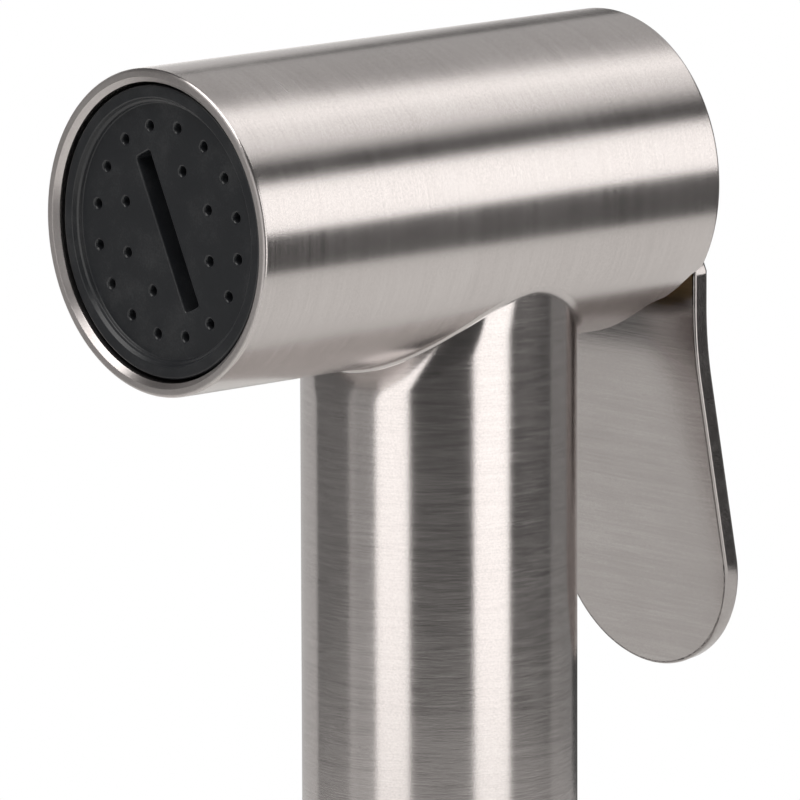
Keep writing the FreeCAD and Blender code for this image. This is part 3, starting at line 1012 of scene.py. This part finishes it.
@dataclass
class HandleTube(Assembly):
    """The straight handle tube, ending in a saddle under the head."""

    foot: float = 2.4
    plain_from: float = 6.0
    plain_to: float = 91.0
    neck_from: float = -20.5
    sink: float = 0.35
    shoulder: Shoulder = Shoulder()

    def top(self, degrees: float, r: float) -> float:
        """Finds where a side of the tube is sunk into the head's wall.

        Args:
            degrees: Angle from +X in degrees.
            r: Radius of the side, the outer one for the tube's outside.

        Returns:
            Height from the head's axis in mm.
        """
        z = -math.sqrt(HEAD_R ** 2 - (r * math.cos(math.radians(degrees))) ** 2)
        while True:
            side = self.shoulder.radius(degrees, z) if r == HANDLE_R else r
            if math.hypot(side * math.cos(math.radians(degrees)), z) < HEAD_R - self.sink:
                return z
            z += 0.02

    def build(self) -> bpy.types.Object:
        """Builds the tube as one closed grid.

        Returns:
            The handle's piece.
        """
        rows = []
        for degrees in np.linspace(0, 360, TURN_STEPS, endpoint=False):
            angle = math.radians(degrees)
            line = []
            for r, edge in ((HANDLE_R, HANDLE_EDGE), (HANDLE_BORE_R, -HANDLE_BORE_EDGE)):
                start = [(r - edge * (1 - math.sin(t)), self.foot + abs(edge) * (1 - math.cos(t)))
                         for t in np.linspace(0, math.pi / 2, 6)]
                plain = np.linspace(self.plain_from, self.plain_to, 30)
                run = [(r, z) for z in (self.foot + 2 * HANDLE_EDGE, *plain)]
                heights = np.linspace(self.neck_from, self.top(degrees, r), 50)
                if r == HANDLE_R:
                    run += [(self.shoulder.radius(degrees, z), z + AXIS_Z) for z in heights]
                    line += start + run
                else:
                    run += [(r, z + AXIS_Z) for z in heights]
                    line += (start + run)[::-1]
            rows.append([(r * math.cos(angle), r * math.sin(angle), z) for r, z in line])
        piece = Sculptor.grid("handle_tube_body", placed(np.array(rows), Axis.HANDLE))
        return self.place(piece, Body.SPRAYER, "brushed_handle_steel", "handle_tube")


@dataclass
class NeckWeld(Assembly):
    """The ground weld between the tubes: a crisp seam in front that softens towards the rear."""

    radii: tuple[Point, ...] = (
        (0, 0.45), (52, 0.45), (66, 0.7), (84, 1.2), (106, 1.8), (128, 0.8), (180, 0.8),
    )
    root_sink: float = 0.6
    root_r: float = 13.6
    arc_steps: int = 14
    shoulder: Shoulder = Shoulder()

    def ball(self, degrees: float) -> float:
        """Gives the radius of the rolling ball at an angle round the handle.

        Args:
            degrees: Angle from +X in degrees, -90 in front.

        Returns:
            The radius in mm.
        """
        turns, radii = zip(*self.radii)
        return float(np.interp(from_front(degrees), turns, radii))

    def section(self, degrees: float) -> tuple[list[np.ndarray], list[np.ndarray]]:
        """Rolls the ball against both tubes at one angle.

        Args:
            degrees: Angle from +X in degrees.

        Returns:
            Points of the section from the head's axis in mm, and their normals.
        """
        angle, f = math.radians(degrees), self.ball(degrees)
        out = np.array([math.cos(angle), math.sin(angle)])
        reach = HANDLE_R
        for _ in range(8):
            high = -math.sqrt((HEAD_R + f) ** 2 - ((reach + f) * out[0]) ** 2)
            reach = self.shoulder.radius(degrees, high)
        x, y = (reach + f) * out
        centre = np.array([x, y, high])
        low = np.array([reach * out[0], reach * out[1], high])
        share = HEAD_R / (HEAD_R + f)
        top = np.array([x * share, y, high * share])
        a, b = (low - centre) / f, (top - centre) / f
        sweep = math.acos(max(-1.0, min(1.0, float(a @ b))))
        line, facing = [], []
        for k in range(self.arc_steps + 1):
            t = k / self.arc_steps
            way = (a * math.sin((1 - t) * sweep) + b * math.sin(t * sweep)) / math.sin(sweep)
            line.append(centre + way * f)
            facing.append(-way)
        inner = np.array([(reach - self.root_sink) * out[0], (reach - self.root_sink) * out[1], 0])
        inner[2] = -math.sqrt(self.root_r ** 2 - inner[0] ** 2)
        return line + [inner], facing + [(inner - centre) / np.linalg.norm(inner - centre)]

    def build(self) -> bpy.types.Object:
        """Builds the weld from the rolled sections, with exact normals on its face.

        Returns:
            The weld's piece.
        """
        sections = [self.section(degrees) for degrees in np.linspace(0, 360, 2 * TURN_STEPS, endpoint=False)]
        grid = np.array([line for line, _ in sections])
        normals = np.array([facing for _, facing in sections])
        grid[..., 2] += AXIS_Z
        piece = Sculptor.grid("neck_weld_bead", grid)
        lookup = {}
        for point, normal in zip((grid.reshape(-1, 3) * MM).round(7), normals.reshape(-1, 3)):
            lookup[tuple(point)] = tuple(normal)
        exact = []
        for vertex in piece.data.vertices:
            key = tuple(np.array(vertex.co, float).round(7))
            exact.append(lookup.get(key, tuple(vertex.normal)))
        piece.data.normals_split_custom_set_from_vertices(exact)
        return self.place(piece, Body.SPRAYER, "ground_weld", "neck_weld")


@dataclass(frozen=True)
class HoleRing:
    """A ring of spray holes, some of whose places may stay empty."""

    radius: float
    start: float
    step: float
    taken: tuple[int, ...]

    def places(self) -> list[Point]:
        """Gives the holes' places.

        Returns:
            (x, height) of each hole in mm.
        """
        angles = [math.radians(self.start + self.step * i) for i in self.taken]
        return [(self.radius * math.cos(a), self.radius * math.sin(a)) for a in angles]


@dataclass
class SprayFace(Assembly):
    """The black screwed-in spray face: flange, stepped ridge, holes and coin slot."""

    front: float = -31.83
    field_y: float = -31.08
    back: float = -20.6
    flange_r: float = 12.5
    ridge_r: float = 11.45
    field_r: float = 10.95
    plate: float = 2.6
    skirt: float = 0.9
    hole_r: float = 0.4
    rings: tuple[HoleRing, ...] = (
        HoleRing(9.03, 103.9, 22.5, tuple(range(16))),
        HoleRing(5.67, 69.97, -45.0, (0, 1, 2, 4, 5, 6)),
    )
    slot_length: float = 14.1
    slot_width: float = 1.85
    slot_depth: float = 2.1
    slot_angle: float = 116.0

    def hole_cutter(self, x: float, height: float) -> tuple[np.ndarray, list[tuple[int, ...]]]:
        """Makes a flared pin.

        Args:
            x: Its place across.
            height: Its height from the axis.

        Returns:
            Vertices in mm and faces.
        """
        r = self.hole_r
        flare = [(r + 0.55, self.field_y - 0.3), (r + 0.2, self.field_y), (r + 0.07, self.field_y + 0.09)]
        stations = [*flare, (r, self.field_y + 0.25), (r, self.field_y + 1.7)]
        count = 24
        vertices = []
        for radius, y in stations:
            for k in range(count):
                t = 2 * math.pi * k / count
                vertices.append((x + radius * math.cos(t), y, AXIS_Z + height + radius * math.sin(t)))
        return np.array(vertices), Sculptor.skin(len(stations), count)

    def slot_cutter(self) -> tuple[np.ndarray, list[tuple[int, ...]]]:
        """Makes the flared tool of the coin slot.

        Returns:
            Vertices in mm and faces.
        """
        turn = math.radians(self.slot_angle)
        stations = [(0.5, -0.4), (0.13, 0.0), (0.04, 0.05), (0.0, 0.14), (-0.02, self.slot_depth)]
        vertices = []
        for grow, depth in stations:
            long, wide = self.slot_length / 2 + grow, self.slot_width / 2 + grow
            outline = rounded([(-long, -wide), (long, -wide), (long, wide), (-long, wide)], [0.22 + grow] * 4)
            count = len(outline)
            for u, v in outline:
                x = u * math.cos(turn) - v * math.sin(turn)
                h = u * math.sin(turn) + v * math.cos(turn)
                vertices.append((x, self.field_y + depth, AXIS_Z + h))
        return np.array(vertices), Sculptor.skin(len(stations), count)

    def build(self) -> bpy.types.Object:
        """Turns the face, then sinks its holes and slot.

        Returns:
            The spray face's piece.
        """
        corners = [
            (0.0, self.field_y), (self.field_r, self.field_y), (self.field_r + 0.1, self.field_y - 0.3),
            (self.ridge_r - 0.2, self.field_y - 0.42), (self.ridge_r, self.front),
            (self.flange_r, self.front), (self.flange_r, self.back), (self.flange_r - self.skirt, self.back),
            (self.flange_r - self.skirt, self.field_y + self.plate), (0.0, self.field_y + self.plate),
        ]
        line = rounded(corners, [0, 0.1, 0.12, 0.12, 0.16, 0.2, 0.1, 0.1, 0.1, 0])
        piece = Sculptor.turned("spray_face_plate", line, Axis.HEAD)
        vertices, faces, count = [], [], 0
        places = [place for ring in self.rings for place in ring.places()]
        for points, skin in [self.hole_cutter(x, h) for x, h in places] + [self.slot_cutter()]:
            vertices.append(points)
            faces += [tuple(i + count for i in face) for face in skin]
            count += len(points)
        cutter = Sculptor.from_lists("face_cutter", np.concatenate(vertices), faces)
        Sculptor.cut(piece, cutter)
        Sculptor.crisp(piece, 40.0)
        Sculptor.flatten(piece, Vector((0, -1, 0)))
        return self.place(piece, Body.SPRAYER, "black_plastic", "spray_face")


@dataclass
class Lever(Assembly):
    """The bent thumb lever with its two forks."""

    front: float = 20.35
    thickness: float = 1.6
    top_r: float = 12.1
    half_width: float = 10.8
    tip: float = -45.1
    edge: float = 0.3
    ear_r: float = 2.2
    pin_hole_r: float = 1.06
    slot_rise: float = 0.2
    fork_inner: float = 3.2
    fork_outer: float = 4.6
    shoulder: tuple[Point, Point] = ((10.05, -6.74), (10.8, -8.1))
    bends: tuple[tuple[float, float, float], ...] = (
        (-14.6, 37.0, math.atan(0.19)), (-35.5, 60.0, math.atan(0.145)),
    )

    def right_side(self) -> np.ndarray:
        """Gives the outline's right half from the top to the tip.

        Returns:
            Array of (x, height) in mm.
        """
        (neck_x, neck_h), (wide_x, wide_h) = self.shoulder
        start = math.acos(neck_h / self.top_r)
        points = [(self.top_r * math.sin(t), self.top_r * math.cos(t)) for t in np.linspace(0, start, 60)]
        points[-1] = (neck_x, neck_h)
        points.append(((neck_x + wide_x) / 2 + 0.05, (neck_h + wide_h) / 2))
        middle = self.tip + self.half_width
        points += [(wide_x, h) for h in np.linspace(wide_h, middle, 64)]
        points += [(self.half_width * math.cos(t), middle - self.half_width * math.sin(t))
                   for t in np.linspace(0, math.pi / 2, 50)[1:]]
        return np.array(points)

    def bent(self, height: np.ndarray, depth: np.ndarray) -> tuple[np.ndarray, np.ndarray]:
        """Bends flat heights and depths along the plate's side line.

        Args:
            height: Heights on the plate's front face.
            depth: Depths behind the front face.

        Returns:
            The y and height of each point.
        """
        steps = np.linspace(16.0, self.tip - 2, 4000)
        slope = np.zeros_like(steps)
        level = 0.0
        for h, r, after in self.bends:
            reach = abs(r * math.tan((after - level) / 2))
            t = np.clip((h + reach - steps) / (2 * reach), 0, 1)
            slope += (after - level) * t
            level = after
        ahead = np.concatenate([[0], np.cumsum(np.tan(slope[1:]) * -np.diff(steps))])
        lean = np.interp(-height, -steps, slope)
        y = self.front + np.interp(-height, -steps, ahead) + depth * np.cos(lean)
        return y, height + depth * np.sin(lean)

    def plate(self) -> bpy.types.Object:
        """Builds the bent plate with rounded edges.

        Returns:
            The plate.
        """
        side = self.right_side()
        way = np.gradient(side, axis=0)
        way /= np.linalg.norm(way, axis=1)[:, None]
        inward = np.stack([way[:, 1], -way[:, 0]], 1)
        inward[0], inward[-1] = (0, -1), (0, 1)
        stations = [(1.6, 0.0), (0.5, 0.0)]
        stations += [(1 - math.sin(t), 1 - math.cos(t)) for t in np.linspace(0, math.pi / 2, 7)]
        loops = [(self.edge * a, self.edge * b) for a, b in stations]
        loops += [(a, self.thickness - b) for a, b in reversed(loops)]
        columns = 14
        rows_x, rows_h, rows_d = [], [], []
        for inset, depth in loops:
            line = side + inward * inset
            rows_x.append(line[:, 0])
            rows_h.append(line[:, 1])
            rows_d.append(np.full(len(line), depth))
        xs, hs, ds = np.array(rows_x), np.array(rows_h), np.array(rows_d)
        vertices, faces = [], []
        index: dict[tuple[int, int, int], int] = {}

        def vertex(key: tuple[int, int, int], x: float, h: float, d: float) -> int:
            """Adds a vertex once.

            Args:
                key: Its loop, its place on the loop and its side or column.
                x: Its place across.
                h: Its height on the flat plate.
                d: Its depth behind the front face.

            Returns:
                The vertex's number.
            """
            if key not in index:
                index[key] = len(vertices)
                vertices.append((x, h, d))
            return index[key]

        last = side.shape[0] - 1
        for i in range(len(loops)):
            for j in range(last + 1):
                for sign in (1, -1):
                    shared = j in (0, last)
                    key = (i, j, 0 if shared else sign)
                    vertex(key, 0.0 if shared else sign * xs[i, j], hs[i, j], ds[i, j])

        def rim(i: int, j: int, sign: int) -> int:
            """Finds a rim vertex.

            Args:
                i: Its loop.
                j: Its place on the loop.
                sign: Its side, 1 or -1.

            Returns:
                The vertex's number.
            """
            return index[(i, j, 0 if j in (0, last) else sign)]

        for i in range(len(loops) - 1):
            for j in range(last):
                for sign in (1, -1):
                    ahead = (rim(i + 1, j + 1, sign), rim(i + 1, j, sign))
                    faces.append((rim(i, j, sign), rim(i, j + 1, sign), *ahead))
        for i in (0, len(loops) - 1):
            previous = [rim(i, 0, 1)]
            for j in range(1, last):
                row = []
                for k in range(columns + 1):
                    share = 1 - 2 * k / columns
                    if k in (0, columns):
                        row.append(rim(i, j, 1 if k == 0 else -1))
                    else:
                        row.append(vertex((i, j, 10 + k), xs[i, j] * share, hs[i, j], ds[i, j]))
                if len(previous) == 1:
                    faces += [(previous[0], row[k], row[k + 1]) for k in range(columns)]
                else:
                    faces += [(previous[k], row[k], row[k + 1], previous[k + 1]) for k in range(columns)]
                previous = row
            foot = rim(i, last, 1)
            faces += [(previous[k], foot, previous[k + 1]) for k in range(columns)]
        flat = np.array(vertices)
        y, high = self.bent(flat[:, 1], flat[:, 2])
        return Sculptor.from_lists("lever_plate", np.column_stack([flat[:, 0], y, high + AXIS_Z]), faces)

    def fork(self, low: float, high: float) -> bpy.types.Object:
        """Builds one fork: a rounded tab with its hinge hole and pull slot.

        Args:
            low: Lowest x in mm.
            high: Highest x in mm.

        Returns:
            The fork.
        """
        r, hole_r = self.ear_r, self.pin_hole_r
        root = self.front + self.thickness / 2
        quarter = np.linspace(0, math.pi / 2, 12)
        outline = [(root, HINGE_HEIGHT - r)]
        outline += [(HINGE_Y - r * math.sin(t), HINGE_HEIGHT - r * math.cos(t)) for t in quarter]
        outline += [(HINGE_Y - r * math.cos(t), r * math.sin(t)) for t in quarter]
        outline.append((root, r))
        tab = Sculptor.prism("lever_fork", outline, low, high, 0.12)
        for centre, rise in ((HINGE_HEIGHT, 0.0), (0.0, self.slot_rise)):
            hole = []
            for t in np.linspace(0, 2 * math.pi, 32, endpoint=False):
                lift = rise if math.sin(t) > 0 else 0
                hole.append((HINGE_Y + hole_r * math.cos(t), centre + hole_r * math.sin(t) + lift))
            Sculptor.cut(tab, Sculptor.prism("fork_hole", hole, low - 1, high + 1, 0.05))
        return tab

    def build(self) -> bpy.types.Object:
        """Builds the plate and forks as one piece.

        Returns:
            The lever's piece.
        """
        plate = self.plate()
        forks = [self.fork(self.fork_inner, self.fork_outer), self.fork(-self.fork_outer, -self.fork_inner)]
        piece = Sculptor.joined("thumb_lever_plate", [plate, *forks])
        Sculptor.crisp(piece, 40.0)
        return self.place(piece, Body.LEVER, "brushed_lever_steel", "lever")


@dataclass
class InletNipple(Assembly):
    """The hose nipple: helical pipe thread, collar, spigot with its seal groove and the bore."""

    crest_r: float = 10.478
    depth: float = 1.162
    pitch: float = 1.814
    foot: float = -9.5
    collar: float = 2.4
    bore_r: float = 7.5
    seat_r: float = 8.3
    seat_top: float = -6.5
    groove_r: float = 9.2
    groove: Point = (6.3, 8.5)
    spigot_top: float = 12.4

    def thread_radius(self, z: np.ndarray, turn: float) -> np.ndarray:
        """Gives the thread's radius at heights on one side.

        Args:
            z: Heights in mm.
            turn: Angle round the axis, as a share of a turn.

        Returns:
            Radii in mm.
        """
        phase = (z / self.pitch - turn) % 1.0
        ridge = np.abs(phase - 0.5) * 2
        shape = np.clip((ridge - 0.12) / 0.76, 0, 1)
        shape = shape * shape * (3 - 2 * shape) * 0.35 + shape * 0.65
        fade = np.clip((z + 0.35) / -1.2, 0, 1)
        start = np.clip((z - self.foot) / 0.9, 0, 1)
        radius = self.crest_r - self.depth * (1 - shape) * fade
        lead = self.crest_r - 0.75 * (1 - start)
        return np.minimum(radius, np.maximum(lead, self.crest_r - self.depth + 0.05))

    def build(self) -> bpy.types.Object:
        """Builds the nipple as one closed grid.

        Returns:
            The nipple's piece.
        """
        heights = np.linspace(self.foot + 0.02, -0.12, 150)
        spigot = HANDLE_BORE_R - 0.05
        low, high = self.groove
        upper = [
            (self.crest_r - 0.02, -0.02), (HANDLE_R - 0.1, -0.02), (HANDLE_R, 0.0), (HANDLE_R, self.collar),
            (HANDLE_R - 0.4, self.collar), (HANDLE_R - 0.4, self.collar + 0.01), (spigot, self.collar + 0.01),
            (spigot, low), (self.groove_r, low), (self.groove_r, high), (spigot, high),
            (spigot, self.spigot_top), (self.bore_r, self.spigot_top),
            (self.bore_r, self.seat_top), (self.seat_r, self.seat_top), (self.seat_r, self.foot),
        ]
        radii = [0, 0.1, 0.25, 0.25, 0, 0, 0.05, 0.1, 0.2, 0.2, 0.1, 0.3, 0.2, 0.15, 0.1, 0.15]
        upper = rounded(upper, radii, closed=False, steps=4)
        rows = []
        for i in range(TURN_STEPS):
            turn = i / TURN_STEPS
            angle = 2 * math.pi * turn
            line = list(zip(self.thread_radius(heights, turn), heights)) + upper
            rows.append([(r * math.cos(angle), r * math.sin(angle), z) for r, z in line])
        piece = Sculptor.grid("inlet_nipple_thread", placed(np.array(rows), Axis.HANDLE))
        Sculptor.crisp(piece, 50.0)
        return self.place(piece, Body.SPRAYER, "turned_steel", "inlet_nipple")


@dataclass
class ValveParts(Assembly):
    """The frame's own nodes that keep their meshes: valve, seals, spring, pins, carrier and filter."""

    def build(self) -> None:
        """Gives every node that is still shown the material of its slot."""
        slots = {row["node"]: row["material_slot"] for row in frame["record"]["subparts"]}
        for name, node in frame["nodes"].items():
            if node.hide_render:
                continue
            self.wardrobe.dress_frame_node(node, slots[name])
            self.pieces.append(node)


# ---- studio ----
@dataclass(frozen=True)
class Panel:
    """A soft box that faces the object, placed by its direction from it."""

    name: str
    azimuth: float
    elevation: float
    width: float
    height: float
    radiance: float
    colour: Colour = (1.0, 0.985, 0.965)
    distance: float = 1.6

    def build(self, target: Vector) -> None:
        """Adds the light.

        Args:
            target: The point that it faces.
        """
        across = 2 * self.distance * math.tan(math.radians(self.width / 2))
        tall = 2 * self.distance * math.tan(math.radians(self.height / 2))
        light = bpy.data.lights.new(self.name, "AREA")
        light.shape = "RECTANGLE"
        light.size = across
        light.size_y = tall
        light.color = self.colour
        light.energy = self.radiance * math.pi * across * tall
        lamp = bpy.data.objects.new(self.name, light)
        lamp.visible_camera = False
        az, el = math.radians(self.azimuth), math.radians(self.elevation)
        way = Vector((math.cos(az) * math.cos(el), math.sin(az) * math.cos(el), math.sin(el)))
        lamp.location = target + way * self.distance
        right = Vector((-math.sin(az), math.cos(az), 0))
        up = way.cross(right)
        lamp.matrix_world = Matrix.Translation(lamp.location) @ Matrix((right, up, way)).transposed().to_4x4()
        bpy.context.scene.collection.objects.link(lamp)


PANELS = (
    Panel("right_strip", 2.0, 2.0, 32.0, 56.0, 1.7),
    Panel("right_upper", 43.0, 12.8, 32.0, 26.0, 1.7),
    Panel("top_soft", 66.0, 56.0, 38.0, 36.0, 1.2),
    Panel("top_left", 110.0, 34.0, 44.0, 44.0, 0.42),
    Panel("left_strip", -82.0, -4.0, 29.0, 52.0, 1.6),
    Panel("left_fill", -110.0, 0.0, 26.0, 60.0, 0.3),
    Panel("rear_wall", 168.0, 0.0, 54.0, 50.0, 0.46),
    Panel("rear_soft", 146.0, 16.0, 18.0, 46.0, 0.6),
    Panel("right_fill", 84.0, -4.0, 40.0, 28.0, 0.17),
    Panel("left_back", -140.0, -8.0, 44.0, 44.0, 0.1),
    Panel("rear_edge", 139.0, -3.0, 18.0, 12.0, 0.7),
    Panel("overhead", -90.0, 72.0, 50.0, 50.0, 3.0),
)


@dataclass(frozen=True)
class Studio:
    """The floor, the lights, the surroundings and the camera."""

    ambient: float = 0.07
    floor_radius: float = 300.0
    floor_top: float = -9.6
    floor_depth: float = 4.0
    lit_point: tuple[float, float, float] = (0, 0, 0.1)
    view_azimuth: float = 47.58
    view_elevation: float = 10.12
    view_roll: float = -0.19
    view_lens: float = 474.96
    view_place: tuple[float, float, float] = (0.66211, -0.60956, 0.254385)

    def floor(self, wardrobe: Wardrobe) -> None:
        """Adds the plain pale floor.

        Args:
            wardrobe: The materials' holder; not used.
        """
        count = 96
        vertices = []
        for height in (self.floor_top, self.floor_top - self.floor_depth):
            for t in np.linspace(0, 2 * math.pi, count, endpoint=False):
                vertices.append((self.floor_radius * math.cos(t), self.floor_radius * math.sin(t), height))
        floor = Sculptor.from_lists("floor", np.array(vertices), Sculptor.skin(2, count))
        floor.data.polygons.foreach_set("use_smooth", [False] * len(floor.data.polygons))
        made, _, surface = start_material("pale_floor")
        surface.inputs["Base Color"].default_value = (0.86, 0.86, 0.85, 1)
        surface.inputs["Roughness"].default_value = 0.8
        floor.data.materials.append(made)

    def surroundings(self) -> None:
        """Adds a dim even glow for reflections and a white backdrop."""
        world = bpy.data.worlds.new("studio")
        bpy.context.scene.world = world
        world.use_nodes = True
        tree = Tree(world.node_tree)
        path = tree.node("LightPath")
        glow = tree.node("Background")
        glow.inputs["Color"].default_value = (1.0, 0.99, 0.98, 1)
        glow.inputs["Strength"].default_value = self.ambient
        white = tree.node("Background")
        white.inputs["Color"].default_value = (1, 1, 1, 1)
        white.inputs["Strength"].default_value = 1.0
        either = tree.node("MixShader")
        tree.feed(either.inputs[0], path.outputs["Is Camera Ray"])
        tree.feed(either.inputs[1], glow.outputs[0])
        tree.feed(either.inputs[2], white.outputs[0])
        out = tree.node("OutputWorld")
        tree.feed(out.inputs[0], either.outputs[0])

    def camera(self) -> None:
        """Adds the camera that looks at the head from its front right, slightly from above."""
        azimuth = math.radians(self.view_azimuth)
        elevation = math.radians(self.view_elevation)
        roll = math.radians(self.view_roll)
        level = math.cos(elevation)
        back = Vector((math.sin(azimuth) * level, -math.cos(azimuth) * level, math.sin(elevation)))
        right = Vector((math.cos(azimuth), math.sin(azimuth), 0))
        up = back.cross(right)
        side = right * math.cos(roll) + up * math.sin(roll)
        above = up * math.cos(roll) - right * math.sin(roll)
        data = bpy.data.cameras.new("view")
        data.lens = self.view_lens
        data.sensor_width = 36.0
        data.clip_start = 0.01
        eye = bpy.data.objects.new("view", data)
        turn = Matrix((side, above, back)).transposed().to_4x4()
        eye.matrix_world = Matrix.Translation(self.view_place) @ turn
        bpy.context.scene.collection.objects.link(eye)
        bpy.context.scene.camera = eye

    def build(self, wardrobe: Wardrobe) -> None:
        """Builds the whole studio.

        Args:
            wardrobe: The materials' holder.
        """
        self.floor(wardrobe)
        self.surroundings()
        for panel in PANELS:
            panel.build(Vector(self.lit_point))
        self.camera()
        bpy.context.scene.view_settings.view_transform = "Standard"


def main() -> None:
    """Builds the sprayer, its finishes and its studio."""
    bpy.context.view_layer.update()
    wardrobe = Wardrobe()
    assemblies = [
        HeadTube(wardrobe), HandleTube(wardrobe), NeckWeld(wardrobe), SprayFace(wardrobe), Lever(wardrobe),
        InletNipple(wardrobe), ValveParts(wardrobe),
    ]
    for assembly in assemblies:
        assembly.build()
        for piece in assembly.pieces:
            LOG.info("%s: %s, %d faces", type(assembly).__name__, piece.name, len(piece.data.polygons))
    Studio().build(wardrobe)


if __name__ == "__main__":
    logging.basicConfig(level=logging.INFO, format="%(message)s")
    main()
